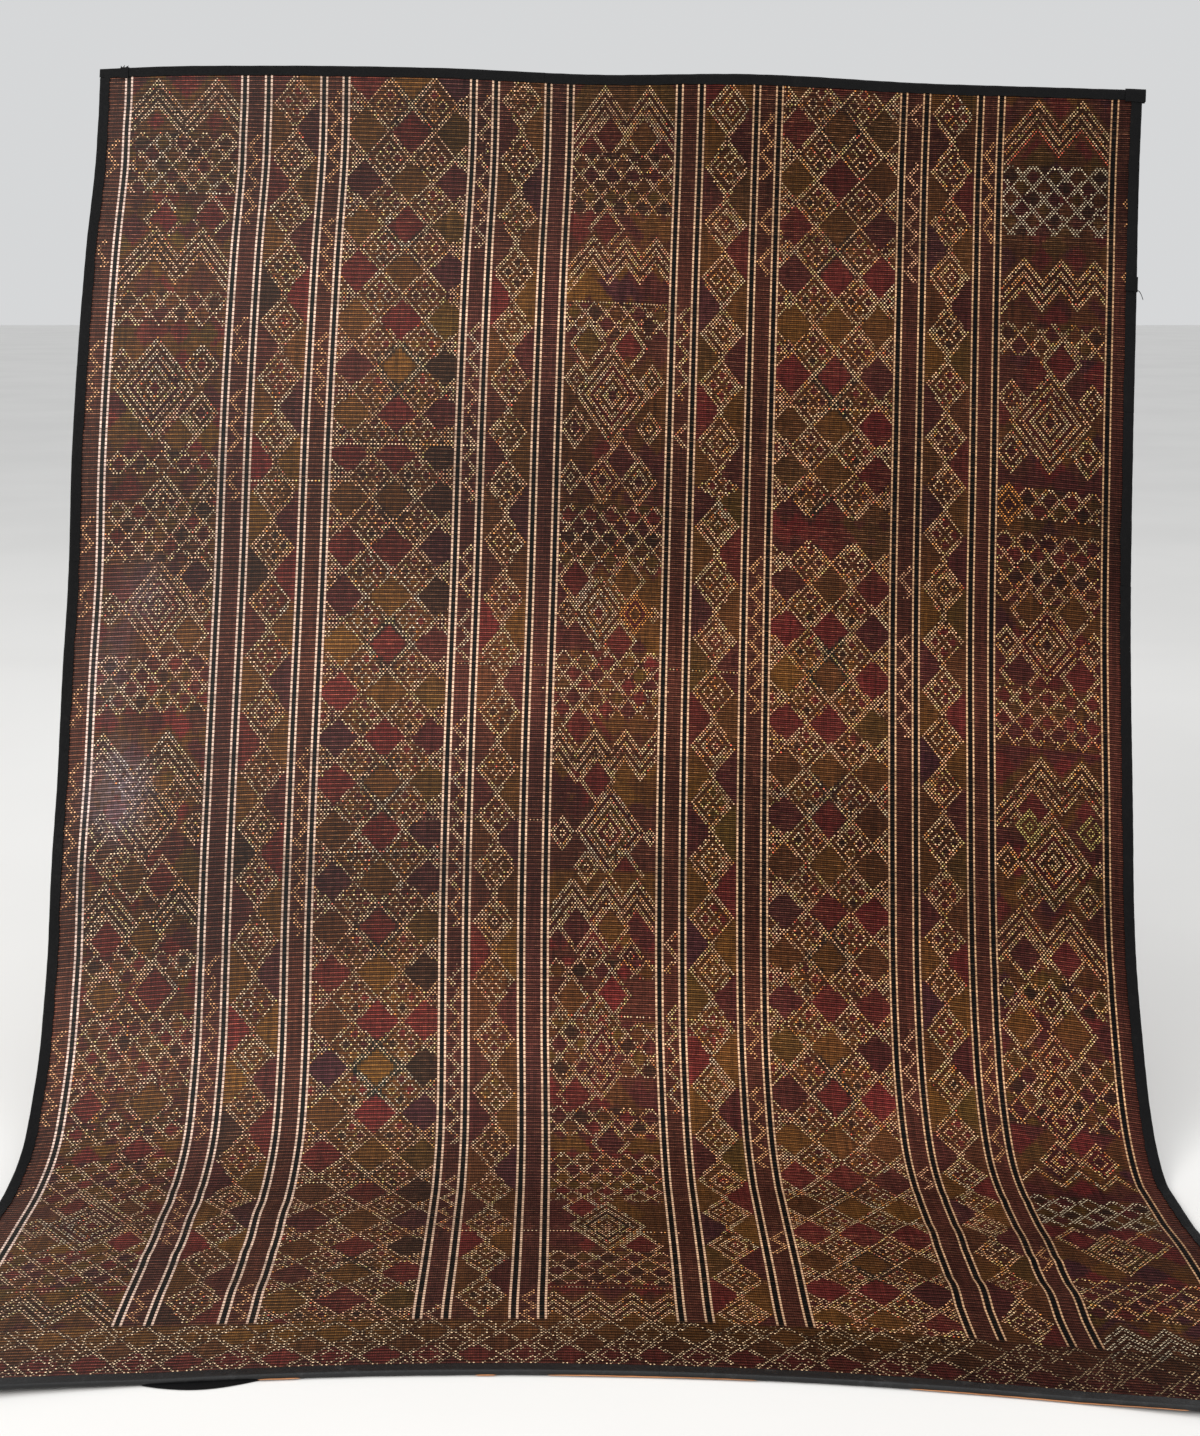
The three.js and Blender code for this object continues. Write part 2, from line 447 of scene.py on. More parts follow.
# steps from the middle at which each kind of nested diamond has its lines
figures = {
    "big": [4, 6, 10, 12, 16, 18, 22, 24],
    "large": [2, 4, 8, 10, 14, 16, 20, 22],
    "mid": [4, 6, 10, 12, 16, 18],
    "heart": [4, 6, 10, 12],
    "bud": [4, 8, 10],
    "small": [2, 6, 8],
    "tiny": [2, 4],
}


def rings(band, place, low, figure, colours="", yarn=None):
    """Nested diamonds of dots: cells whose steps across plus down are in the figure's list.

    The colours fill the rings between the lines from the middle outwards.
    """
    x, y = cell_at(place, low)
    reach = steps_from(x, y)
    lines = figures[figure]
    inside = in_band(band) & (reach <= max(lines))
    plain(inside)
    ends = [line for line in lines if line + 2 not in lines]
    start = -1
    for end, letter in zip(ends, colours):
        leather[inside & (reach > start) & (reach <= end)] = dye_of[letter] * 0.7
        start = end
    between = inside & np.isin(reach + 1, lines) & np.isin(reach - 1, lines)
    leather[between] = dyes["shadow"]
    dot(inside & np.isin(reach, lines), yarn)


def solid(band, place, low, half, colour):
    """A plain diamond of dyed leather, half so many strips wide; large ones have a double line."""
    x, y = cell_at(place, low)
    reach = steps_from(x, y)
    inside = in_band(band) & (reach <= half + 4)
    plain(inside & (reach <= half), letters[colour])
    if half >= 8:
        dot(inside & (reach > half))


def four_small(cells, x, y, accent):
    """Four little diamonds, their middles five steps from the middle of the large one.

    Each is the set of cells three steps from its own middle.
    """
    first, second = np.floor(x), np.floor(y)
    dx = np.abs(strip - 0.5 - first - (first + second) % 2)
    dy = np.abs(reed - 0.5 - second)
    reach = np.rint(np.minimum(np.abs(dx - 5) + dy, dx + np.abs(dy - 5)))
    leather[cells & (reach > 3)] = dyes["brown"]
    leather[cells & (reach < 3)] = accent if np.ndim(accent) == 1 else accent[cells & (reach < 3)]
    dot(cells & (reach == 3))


print("nested diamonds:", ", ".join(figures))


# %% Zigzags and nets
# reeds from one double line to the next, and how far the dyes reach above and below the lines
zigzag_pitch = 6
zigzag_margin = 14


def zigzag(band, low, peaks, count, over="", under="", yarn=None, last_yarn=None):
    """Double lines, six reeds apart, that fall by one reed for each strip away from a peak.

    over and under are the dyes above the first line and below the last one.
    """
    tops = [cell_at(peak, low) for peak in peaks]
    fall = np.min([np.abs(strip - x) for x, y in tops], axis=0)
    depth = np.rint(reed - tops[0][1] - fall)
    lines = [zigzag_pitch * k + d for k in range(count) for d in (0, 2)]
    deepest = max(lines)
    near = in_band(band, low - 12, low + (deepest + 20) * reed_pitch)
    near &= (depth >= -zigzag_margin) & (depth <= deepest + zigzag_margin)
    plain(near & (depth >= -3) & (depth <= deepest + 3), "brown")
    if over:
        leather[near & (depth < 0)] = dye_of[over]
    if under:
        leather[near & (depth > deepest)] = dye_of[under]
    between = near & (depth >= 0) & (depth <= deepest)
    plain(between)
    leather[between] = leather[between] * 0.45 + dyes["shadow"] * 0.55
    dot(near & np.isin(depth, lines), yarn)
    if last_yarn:
        dot(near & (depth == deepest), last_yarn)


def from_net(p, q, wide):
    """Strips to the nearest line of a net whose lines are where p or q is a whole number."""
    return np.minimum(np.abs(p - np.rint(p)), np.abs(q - np.rint(q))) * wide


def honeycomb(band, start, end, colours, wide=36.0, high=39.0, yarn=None, place=None, line=1.75):
    """A net of small diamonds, wide by high in millimetres, dyed in the middles by turns.

    Their sides are where across/wide + down/high or their difference is a half.
    """
    first, last = bands[band]
    middle = strip_at(place) if place else (first + last) / 2
    wide_strips = wide * (last - first) / (strip_edges[last] - strip_edges[first])
    u = (strip - middle) / wide_strips
    v = (down - start) / high - 0.5
    p = u + v + 0.5
    q = u - v + 0.5
    cells = in_band(band, start, end)
    plain(cells)
    to_side = from_net(p, q, wide_strips)
    turn = (np.floor(p) * 2 + np.floor(q) * 3).astype(int)
    inner = cells & (to_side > line + 0.4)
    for k, letter in enumerate(colours):
        leather[inner & (turn % len(colours) == k)] = dye_of[letter]
    dot(cells & (to_side <= line), yarn)


def each(motif, band, *calls):
    """The same kind of motif several times in one band."""
    for call in calls:
        motif(band, *call)


print("motifs: patch, rings, solid, zigzag, honeycomb")

# %% [markdown]
# ## Chains in the medium bands
# Four bands carry a chain of diamonds, about ten centimetres each, that touch at their tips. The
# outline is double. Inside there are either four little diamonds or one nested diamond. The corners
# left at the two sides are dyed, mostly red, maroon or plum on one side and gold on the other, and
# the dyes change at each crossing.

# %% Diamond chains
# the double outline, and where the filling starts, in strips inside the diamond's side
outline_start = -0.8
outline_end = 2.7
filling_start = 3.4


def chain(band, crossings, fillings, corners, accents):
    """Diamonds from one crossing to the next, with four little diamonds (f) or a nested one (n) inside.

    The outline is where the share across plus the share down from the diamond's middle is one.
    """
    first, last = bands[band]
    middle = (first + last) / 2
    half_wide = (last - first) / 2 - 1.5
    x = np.abs(strip - middle)
    for k, (top, bottom) in enumerate(zip(crossings[:-1], crossings[1:])):
        low = (top + bottom) / 2
        half_high = (bottom - top) / 2
        y = np.abs(down - low)
        cells = in_band(band, top, bottom)
        edge = np.clip(half_wide * (1 - y / half_high), 1.2, None) - x
        left, right = corners[k % len(corners)]
        lower_left, lower_right = corners[(k + 1) % len(corners)]
        outside = cells & (edge < 0)
        for letter, side, half in (
            (left, strip < middle, down < low), (right, strip > middle, down < low),
            (lower_left, strip < middle, down >= low), (lower_right, strip > middle, down >= low),
        ):
            leather[outside & side & half] = dye_of[letter]
        leather[cells & (edge >= 0)] = dyes["brown"]
        dot(cells & (edge >= outline_start) & (edge < outline_end))
        accent = dye_of[accents[k % len(accents)]]
        inside = cells & (edge > filling_start)
        if fillings[k % len(fillings)] == "n":
            steps = steps_from(*cell_at(place_at(middle), low))
            leather[inside & (steps < 4)] = accent
            dot(inside & np.isin(steps, figures["small"]))
        else:
            four_small(inside, middle, low / reed_pitch, accent)


chain(
    "b",
    [12, 105, 205, 300, 400, 490, 590, 682, 778, 867, 957, 1045, 1145, 1238, 1322, 1412, 1522,
     1610, 1693, 1785, 1900, 1995, 2090, 2190, 2305],
    "fnffnfnffffnfnfnfnffnfff",
    ["mg", "gp", "rg", "gm", "dr"],
    "rmbdr",
)
chain(
    "d",
    [0, 95, 200, 300, 400, 492, 585, 667, 763, 857, 952, 1045, 1145, 1232, 1305, 1397, 1488,
     1585, 1677, 1768, 1875, 1980, 2090, 2190, 2305],
    "ffffnffffff",
    ["nb", "mg", "bp", "nb", "rg", "bm"],
    "bmod",
)
chain(
    "f",
    [8, 100, 205, 300, 400, 485, 575, 682, 725, 815, 918, 1008, 1095, 1190, 1282, 1383, 1470,
     1555, 1652, 1742, 1832, 1940, 2040, 2140, 2235, 2330],
    "nfnfnfnfnf",
    ["rg", "gm", "mo", "gr", "pg", "om"],
    "rgrog",
)
chain(
    "h",
    [5, 95, 190, 282, 377, 467, 553, 640, 717, 800, 897, 980, 1062, 1143, 1223, 1315, 1397,
     1465, 1535, 1620, 1700, 1790, 1870, 1940, 2030, 2110, 2200, 2310],
    "fffnfffffn",
    ["go", "mb", "gr", "pg", "bm"],
    "rmbrd",
)
print("chains: b, d, f, h")

# %% [markdown]
# ## Lattices in two of the wide bands
# Double lines cross the band and leave diamonds between them. Every other diamond is plain dyed
# leather, and the ones between are filled with four little diamonds. The dyes of each column are
# written down as letters from top to bottom, as a weaver would call them out.

# %% Diamond lattice
# half the double line, the shade beside it, and where the filling starts, in strips from its middle
lattice_line = 1.7
lattice_shade = 2.6
lattice_filling = 2.4
filling_dyes = np.array([dye_of[letter] for letter in "rgmd"])


def lattice(band, columns, rows, dye_columns, side_places):
    """Double lines where the phase across plus the phase down is odd.

    The phase grows by two from one plain diamond to the next, across and down. Plain diamonds have
    both phases even, and filled ones both odd.
    """
    column_strips = strip_at(np.array(columns))
    unit = (column_strips[-1] - column_strips[0]) / (2 * (len(columns) - 1))
    px = (strip - column_strips[0]) / unit
    lows = np.array(rows, float)
    row_phases = np.arange(len(rows)) * 2.0
    py = np.interp(down, lows, row_phases)
    cells = in_band(band, lows[0], lows[-1])
    a = np.floor((px + py + 1) / 2)
    b = np.floor((px - py + 1) / 2)
    off_a = px + py - 2 * a
    off_b = px - py - 2 * b
    is_plain = ((a + b) % 2) == 0
    column = np.clip(np.rint((a + b) / 2), 0, len(columns) - 1).astype(int)
    row = np.clip(np.rint((a - b) / 2), 0, len(rows) - 1).astype(int)
    for k, calls in enumerate(dye_columns):
        dye_of_row = np.array([dye_of[calls[r % len(calls)]] for r in range(len(rows))])
        mask = cells & is_plain & (column == k)
        leather[mask] = dye_of_row[row[mask]]
    filled = cells & ~is_plain
    leather[filled] = dyes["brown"]
    turn = (a * 3 + b * 5 + (off_a > 0) * 2 + (off_b > 0)).astype(int)
    accent = filling_dyes[turn % len(filling_dyes)]
    to_line = (1 - np.maximum(np.abs(off_a), np.abs(off_b))) * unit
    middle_reed = np.interp(a - b, row_phases, lows) / reed_pitch
    middle_strip = column_strips[0] + (a + b) * unit
    four_small(filled & (to_line > lattice_filling), middle_strip, middle_reed, accent)
    # the leather of some lines beside the second column is green
    greenish = bell(np.hypot((across - columns[1]) / 70, ((down + 40) % 230 - 110) / 90)) > 0.35
    dot(cells & (to_line < lattice_line))
    leather[cells & (to_line < lattice_shade) & greenish] = dyes["green"]
    for place in side_places:
        for low in (lows[:-1] + lows[1:]) / 2:
            rings(band, place, low, "tiny", "m")


lattice(
    "c",
    [457, 537, 613],
    [15, 105, 195, 272, 352, 438, 518, 600, 668, 740, 822, 905, 985, 1065, 1140, 1213, 1292,
     1375, 1448, 1522, 1603, 1678, 1758, 1843, 1932, 2025, 2103, 2180, 2257, 2330],
    ["rgmgrgmgrgrmgrprbpbrbpbrbmbmgr", "grgrgrgrrgrgrgrgrgrgrgrgrgrgrg", "pomopodmddpdmomoppodrdpodpdroo"],
    [444, 619],
)
columns_g = [1190, 1262, 1334]
sides_g = [1180, 1345]
lattice(
    "g",
    columns_g,
    [0, 80, 165, 250, 335, 420, 505, 590, 668, 745],
    ["grgrmgrgom", "rgrgrgrggr", "mogmrgmrrg"],
    sides_g,
)
lattice(
    "g",
    columns_g,
    [785, 858, 935, 1014, 1095, 1170, 1250, 1328, 1405, 1480, 1550, 1622, 1702, 1785, 1866,
     1955, 2040, 2125, 2205, 2285, 2330],
    ["mmrgrbmbpbmomgrbrbrgm", "rgrbrgrgrgrgrgrgrgrgr", "ormrogbbrbrmrgmgrgmrb"],
    sides_g,
)
plain(in_band("g", 752, 784), "maroon")
patch("g", 748, 786, "rro")
print("lattices: c, g")

# %% [markdown]
# ## Blocks in the other three wide bands
# The first, the middle and the last wide band have no steady repeat. They carry blocks: a zigzag of
# several lines, a net of small diamonds, a large nested diamond with little ones beside it, and
# between them pairs of plain dyed diamonds. Each call or bracket below is one block: a motif starts
# at its place down, or has its middle at its place across and down, in millimetres.

# %% Band a
honeycomb("a", 0, mat_length, "rbgmrobgmn", 50, 58, line=-1)
zigzag("a", 18, [98, 195], 3)
honeycomb("a", 118, 228, "mbdo")
each(solid, "a", (120, 272, 8, "r"), (200, 268, 8, "r"), (160, 262, 6, "o"))
zigzag("a", 288, [112, 190], 3)
honeycomb("a", 396, 458, "bmdb")
each(solid, "a", (105, 470, 6, "r"), (165, 466, 6, "r"), (212, 470, 6, "o"))
each(rings, "a",
     (130, 560, "big", "rbmbnb"), (70, 520, "small", "mb"), (205, 520, "bud", "rb"),
     (205, 600, "bud", "mb"))
solid("a", 172, 640, 8, "g")
honeycomb("a", 664, 700, "bmrd")
solid("a", 92, 722, 6, "r")
zigzag("a", 700, [148, 230], 3)
honeycomb("a", 742, 845, "bromdg")
each(solid, "a", (172, 858, 6, "p"), (207, 870, 8, "p"))
each(rings, "a", (145, 920, "large", "mmrb"), (70, 920, "small", "db"), (222, 920, "small", "rb"))
each(solid, "a", (88, 968, 6, "m"), (200, 965, 8, "g"))
honeycomb("a", 992, 1092, "modmpr")
each(solid, "a", (150, 1108, 6, "m"), (200, 1112, 6, "r"))
zigzag("a", 1122, [70, 178], 3)
each(rings, "a",
     (150, 1262, "mid", "gbdb"), (196, 1222, "small", "rb"), (228, 1278, "small", "db"),
     (72, 1275, "small", "db"))
solid("a", 90, 1315, 8, "b")
rings("a", 105, 1330, "small", "rb")
each(solid, "a", (130, 1352, 8, "g"), (180, 1360, 9, "r"))
zigzag("a", 1356, [88, 207], 3)
each(solid, "a", (92, 1448, 9, "r"), (150, 1450, 8, "g"))
honeycomb("a", 1470, 1520, "rmdb")
each(solid, "a", (90, 1540, 8, "g"), (175, 1535, 10, "r"))
rings("a", 130, 1595, "heart", "rb")
honeycomb("a", 1572, 1700, "mrbdbm", 33, 44)
each(solid, "a", (82, 1722, 8, "r"), (178, 1722, 10, "g"))
zigzag("a", 1738, [128, 222], 1)
honeycomb("a", 1755, 1800, "bmrb")
solid("a", 172, 1815, 8, "r")
honeycomb("a", 1832, 1945, "rbgmop")
each(solid, "a", (108, 1962, 8, "r"), (188, 1970, 9, "b"))
each(rings, "a", (145, 2020, "big", "rbmb"), (68, 2020, "small", "mb"), (225, 2022, "small", "mb"))
each(solid, "a", (205, 2072, 9, "r"), (90, 2072, 8, "b"))
honeycomb("a", 2104, 2204, "mrobpg")
zigzag("a", 2212, [110, 190], 3)
print("band a: dots", int(raised[in_band("a")].sum()))

# %% Band e
zigzag("e", 15, [862, 935], 3, over="o", under="m")
patch("e", 86, 128, "rgm")
each(solid, "e", (870, 100, 8, "r"), (930, 104, 8, "g"))
honeycomb("e", 130, 240, "bomdb")
patch("e", 240, 285, "rmg")
solid("e", 870, 268, 8, "r")
zigzag("e", 282, [850, 905, 958], 3, under="g")
patch("e", 350, 398, "gpm")
honeycomb("e", 398, 460, "bmod")
each(solid, "e", (915, 476, 8, "r"), (850, 472, 8, "o"))
patch("e", 498, 650, "bnb")
each(rings, "e",
     (890, 560, "big", "mbrb"), (830, 530, "small", "mb"), (955, 530, "small", "db"),
     (830, 615, "bud", "mb"), (955, 610, "small", "mb"))
patch("e", 646, 680, "brm")
solid("e", 912, 666, 9, "m")
each(rings, "e", (880, 703, "heart", "mr"), (940, 703, "heart", "mb"), (828, 700, "small", "db"))
patch("e", 726, 744, "bgm")
honeycomb("e", 744, 858, "rbmod", 35, 37)
patch("e", 856, 990, "mgg")
each(solid, "e", (842, 870, 8, "r"), (925, 868, 8, "g"))
each(rings, "e",
     (882, 925, "mid", "rob"), (942, 926, "bud", "gr", "orange"), (830, 925, "small", "mb"),
     (972, 925, "tiny", "b"))
each(solid, "e", (915, 975, 8, "r"), (948, 985, 5, "m"))
honeycomb("e", 990, 1100, "robmrg")
patch("e", 1098, 1135, "brgg")
solid("e", 852, 1118, 8, "r")
zigzag("e", 1122, [820, 880, 932, 980], 3, under="g")
patch("e", 1196, 1240, "mrgb")
solid("e", 885, 1206, 8, "r")
each(rings, "e", (905, 1292, "large", "brom"), (830, 1296, "small", "bm"), (972, 1300, "tiny", "d"))
solid("e", 852, 1252, 6, "m")
rings("e", 870, 1352, "small", "bg")
solid("e", 932, 1362, 8, "r")
zigzag("e", 1368, [848, 902, 953], 3, over="g", under="r", last_yarn="cream")
patch("e", 1440, 1476, "mrgm")
each(solid, "e", (855, 1450, 8, "m"), (912, 1448, 8, "g"))
each(rings, "e", (880, 1492, "small", "dm"), (942, 1492, "small", "dm"))
honeycomb("e", 1500, 1530, "mrbd")
each(solid, "e", (912, 1556, 9, "r"), (848, 1562, 9, "b"))
each(rings, "e", (832, 1602, "small", "db"), (832, 1682, "small", "db"))
honeycomb("e", 1600, 1690, "bdmo", place=955)
each(rings, "e", (893, 1602, "heart", "rb"), (893, 1688, "heart", "rm"), (893, 1645, "heart", "rm"))
patch("e", 1706, 1745, "rrbm")
solid("e", 852, 1722, 8, "r")
honeycomb("e", 1742, 1800, "brmd")
patch("e", 1798, 1834, "grg")
solid("e", 905, 1812, 8, "m")
honeycomb("e", 1834, 1962, "bomrg", 33, 38)
patch("e", 1962, 2110, "mrgb")
each(solid, "e", (862, 1985, 8, "r"), (915, 1972, 6, "g"))
rings("e", 895, 2040, "large", "mbdb")
solid("e", 942, 2100, 9, "r")
honeycomb("e", 2118, 2212, "dmbo")
patch("e", 2212, 2240, "rmr")
zigzag("e", 2236, [820, 870, 925, 975], 3, under="g")
print("band e: dots", int(raised[in_band("e")].sum()))

# %% Band i
honeycomb("i", 0, mat_length, "rbmgrnompb", 52, 60, line=-1)
zigzag("i", 20, [1585, 1655], 3, last_yarn="red")
honeycomb("i", 128, 250, "obdm", yarn="grey")
each(solid, "i", (1598, 290, 6, "r"), (1656, 288, 6, "r"))
zigzag("i", 292, [1570, 1628, 1686], 3)
honeycomb("i", 398, 452, "mbdo")
solid("i", 1630, 462, 8, "r")
each(rings, "i",
     (1615, 560, "big", "mbrb"), (1552, 520, "small", "mb"), (1685, 520, "small", "rb"),
     (1552, 612, "bud", "mb"), (1678, 610, "bud", "ro"))
honeycomb("i", 668, 722, "mrod")
rings("i", 1552, 700, "bud", "mb", "orange")
honeycomb("i", 742, 862, "mdrbo")
each(solid, "i", (1590, 872, 8, "g"), (1662, 872, 8, "g"))
each(rings, "i", (1615, 930, "mid", "dgr"), (1548, 930, "small", "mb"), (1690, 930, "small", "mb"))
each(solid, "i", (1572, 978, 8, "m"), (1668, 978, 9, "r"))
honeycomb("i", 1000, 1102, "rmobr")
zigzag("i", 1118, [1605, 1672], 3)
each(solid, "i", (1592, 1206, 8, "r"), (1676, 1200, 6, "r"))
each(rings, "i",
     (1585, 1232, "small", "og", "green"), (1682, 1232, "small", "ob", "green"),
     (1625, 1288, "large", "obro"), (1550, 1290, "small", "mb"), (1696, 1290, "tiny", "m"),
     (1585, 1342, "small", "ob"), (1680, 1342, "small", "ob"))
zigzag("i", 1362, [1570, 1648], 3)
each(solid, "i", (1575, 1442, 8, "m"), (1642, 1442, 9, "r"))
honeycomb("i", 1482, 1530, "mbod")
rings("i", 1612, 1510, "bud", "mb")
each(solid, "i", (1562, 1552, 9, "g"), (1645, 1556, 10, "g"))
honeycomb("i", 1590, 1710, "obmd", place=1552)
each(rings, "i",
     (1612, 1602, "heart", "rb"), (1612, 1700, "heart", "rm"), (1612, 1650, "heart", "rb"),
     (1602, 1775, "heart", "rm"), (1662, 1765, "bud", "mr"))
zigzag("i", 1790, [1560, 1622, 1680], 1)
honeycomb("i", 1866, 1965, "bodm", yarn="grey")
rings("i", 1618, 2045, "mid", "mbo")
each(solid, "i", (1572, 2010, 8, "r"), (1665, 2008, 8, "r"))
honeycomb("i", 2122, 2232, "mrbp")
zigzag("i", 2246, [1565, 1622, 1680], 3, yarn="grey")
print("band i: dots", int(raised[in_band("i")].sum()))

# %% [markdown]
# ## Narrow bands, margins and the end border
# The narrow bands are plain brown leather with short runs of arrow lines in orange or cream. The
# stripes stop before the front end, and a border of diamonds closes the mat, dimmer to the right.

# %% Arrows and margins
arrow_reeds = 12


def arrows(band, runs, yarn, inset):
    """Two bent lines: the strip is the distance, in reeds, to the nearest tip."""
    first, last = bands[band]
    half = arrow_reeds // 2
    for start, end in runs:
        row = math.floor(start / reed_pitch)
        row += (first + inset + row + half) % 2
        fall = np.abs((np.floor(reed) - row) % arrow_reeds - half)
        place = np.floor(strip) - first - inset
        for line in (0, 2):
            dot(in_band(band, start, end) & (place == fall + line), yarn)


margin_inset = 4
arrow_runs = {
    "left_margin": [(130, 200), (310, 360), (480, 600), (768, 830), (870, 930), (1040, 1110), (1165, 1395),
                    (1590, 1755), (1890, 1915)],
    "n1": [(120, 280), (440, 520), (560, 665), (690, 745), (1485, 1800), (1920, 2085), (2215, 2300)],
    "n2": [(40, 200), (260, 390), (460, 590), (1155, 1460), (2200, 2300)],
    "n3": [(40, 310), (440, 745), (815, 905), (925, 1010), (1100, 1450), (1510, 1820), (1890, 2060),
           (2270, 2310)],
    "n4": [(2230, 2310)],
    "n5": [(400, 560), (600, 640), (1450, 1520), (1570, 1750)],
    "n6": [(60, 170), (220, 270), (290, 340), (815, 1085), (1570, 1650), (1690, 1850), (2040, 2110)],
    "n7": [(30, 70), (130, 340), (815, 870), (930, 1105), (1580, 1720), (1820, 1880)],
    "n8": [(90, 270), (1575, 1700), (1720, 1790), (2040, 2110)],
    "right_margin": [(170, 230), (290, 340)],
}
arrow_yarns = {"n3": "cream", "n5": "cream", "n7": "pink"}
for name, runs in arrow_runs.items():
    arrows(name, runs, arrow_yarns.get(name, "dull"), margin_inset if "margin" in name else 0)
for name in ("n1", "n3", "n4"):
    leather[in_band(name)] = dyes["plum"] * 0.4 + dyes["ground"] * 0.6
print("dots in all:", int(raised.sum()))

# %% The end border
stripe_end = 2311.0
border_end = 2426.0
in_border = down >= stripe_end
leather[in_border] = dyes["brown"] * 0.6 + dyes["shadow"] * 0.4
raised[in_border] = False
# one diamond of the border, in strips and reeds
border_wide = 22.0
border_high = 17.0
border_shift = 60
border_dyes = "gbrgbmb"
border_u = (strip - border_shift) / border_wide
border_v = (reed - stripe_end / reed_pitch) / border_high
p = border_u + border_v
q = border_u - border_v
to_side = from_net(p, q, border_wide)
turn = (np.floor(p) * 3 + np.floor(q) * 4).astype(int)
for k, letter in enumerate(border_dyes):
    leather[in_border & (to_side > 1.6) & (turn % len(border_dyes) == k)] = dye_of[letter]
worn = np.random.default_rng(23).random(raised.shape)
border_lines = (to_side < 1.8) | ((np.abs(to_side - 5) < 1.2) & (turn % 2 == 1))
dot(in_border & border_lines & (down < border_end) & (worn < 0.92))
border_tone = np.clip(1.5 - 1.35 * (strip / strip_count), 0.35, 1.3)[..., None]
leather *= np.where(in_border[..., None], border_tone, 1)
straw *= np.where(in_border[..., None], (0.5 + 0.7 * worn[..., None]) * border_tone**0.6, 1)
raised[down >= border_end] = False
leather[down >= border_end] = dyes["shadow"]
print("dots in the border:", int(raised[in_border].sum()))

# %% Black and light stripes
column_of = np.floor(strip / 2)
bead = np.zeros_like(raised)
stripe = down < stripe_end
for k in black_columns:
    leather[(column_of == k) & stripe] = dyes["black"]
    raised[(np.abs(column_of - k) <= 1) & stripe] = False
    bead |= (np.abs(column_of - k) == 1) & stripe
print("stripe cells:", int(bead.sum()))

# %% [markdown]
# ## Wear, uneven dye, and painted light and shade
# Hand-dyed strips differ from each other and change along their length. The dots differ too: most
# are cream, some runs are pink, greenish, orange or grey, and single dots are red. The left part is
# brighter and the right part darker: painted light and shade of the light from the left. The right
# part is also warmer. Seeded random numbers give the same wear each time.

# %% Smooth noise over the chart
def soft_noise(across_cells, down_cells, seed):
    """Random values on a coarse grid, joined by smooth steps across and down, from -1 to 1."""
    coarse = np.random.default_rng(seed).uniform(-1, 1, (down_cells + 1, across_cells + 1))
    x = strip / strip_count * across_cells
    y = reed / reed_count * down_cells
    i = np.minimum(y.astype(int), down_cells - 1)
    j = np.minimum(x.astype(int), across_cells - 1)
    fx = x - j
    fy = y - i
    fx = fx * fx * (3 - 2 * fx)
    fy = fy * fy * (3 - 2 * fy)
    upper = coarse[i, j] * (1 - fx) + coarse[i, j + 1] * fx
    lower = coarse[i + 1, j] * (1 - fx) + coarse[i + 1, j + 1] * fx
    return upper * (1 - fy) + lower * fy


share_across = across / mat_width
share_down = down / mat_length
print("smooth noise ready")

# %% Uneven dye
rng = np.random.default_rng(11)
strip_tone = 1 + 0.07 * rng.standard_normal(strip_count)
piece_length = rng.integers(30, 90, strip_count)
piece_shift = rng.integers(0, 90, strip_count)
piece = (reed.astype(int) + piece_shift) // piece_length
piece_tone = 1 + 0.10 * rng.standard_normal((strip_count, 40))
tone = strip_tone * piece_tone[strip.astype(int), piece % 40]
tone = tone * (1 + 0.16 * soft_noise(9, 14, 3)) * (1 + 0.10 * rng.standard_normal(leather.shape[:2]))
# each dye is mixed a little with the ground, more in some places than in others
fading = np.clip(0.34 + 0.28 * soft_noise(16, 26, 31), 0, 0.75)[..., None]
is_black = (leather == dyes["black"]).all(axis=-1)
faded = leather * (1 - fading) + dyes["ground"] * fading
leather = np.where(is_black[..., None], leather, faded)
leather *= np.clip(tone, 0.5, 1.6)[..., None]
print("mean tone:", round(float(tone.mean()), 3))

# %% Colours of the dots
# runs of other dot colours, each a stretch of the pattern
run_turn = soft_noise(60, 50, 5)
region = soft_noise(14, 20, 8)
plain_cream = (straw == yarns["cream"]).all(axis=-1) & ~bead
runs = (("pink", 0.12, 0.5), ("green", -0.42, -0.3), ("orange", 0.5, 0.8), ("grey", -1, -0.6))
mix = np.clip(run_turn * 0.7 + region * 0.6 + 0.12 * rng.standard_normal(raised.shape), -1, 1)
amount = rng.uniform(0.2, 1.0, raised.shape)[..., None]
for name, low, high in runs:
    here = plain_cream & (mix > low) & (mix < high)
    straw[here] = (straw * (1 - amount) + yarns[name] * amount)[here]
# and single dots, more of them on the right half
pick = rng.random(raised.shape) * np.where(share_across < 0.5, 1.6, 1.0)
picks = (("orange", 0, 0.14), ("pink", 0.14, 0.32), ("green", 0.32, 0.42), ("red", 0.42, 0.47))
for name, low, high in picks:
    straw[plain_cream & (pick >= low) & (pick < high)] = yarns[name]
# the light stripes are a little yellower towards the right
cream_left = linear((208, 184, 162))
cream_right = linear((204, 170, 132))
straw[bead] = (cream_left + (cream_right - cream_left) * np.clip(share_across * 1.4, 0, 1)[..., None])[bead]
# painted light: the reeds are brighter towards the left, where the light comes from; the noise, the rows and
# the single cells fade at random
fade = np.clip(1.32 - 0.2 * share_across + 0.24 * soft_noise(14, 18, 21), 0.6, 1.6)
fade = fade * np.clip(1 + 0.24 * rng.standard_normal((reed_count, 1)), 0.5, 1.6)
fade = fade * np.where(bead, 0.8, rng.uniform(0.5, 1.12, raised.shape))
straw *= fade[..., None]
print("mean brightness of the reeds:", round(float(straw.mean()), 3))
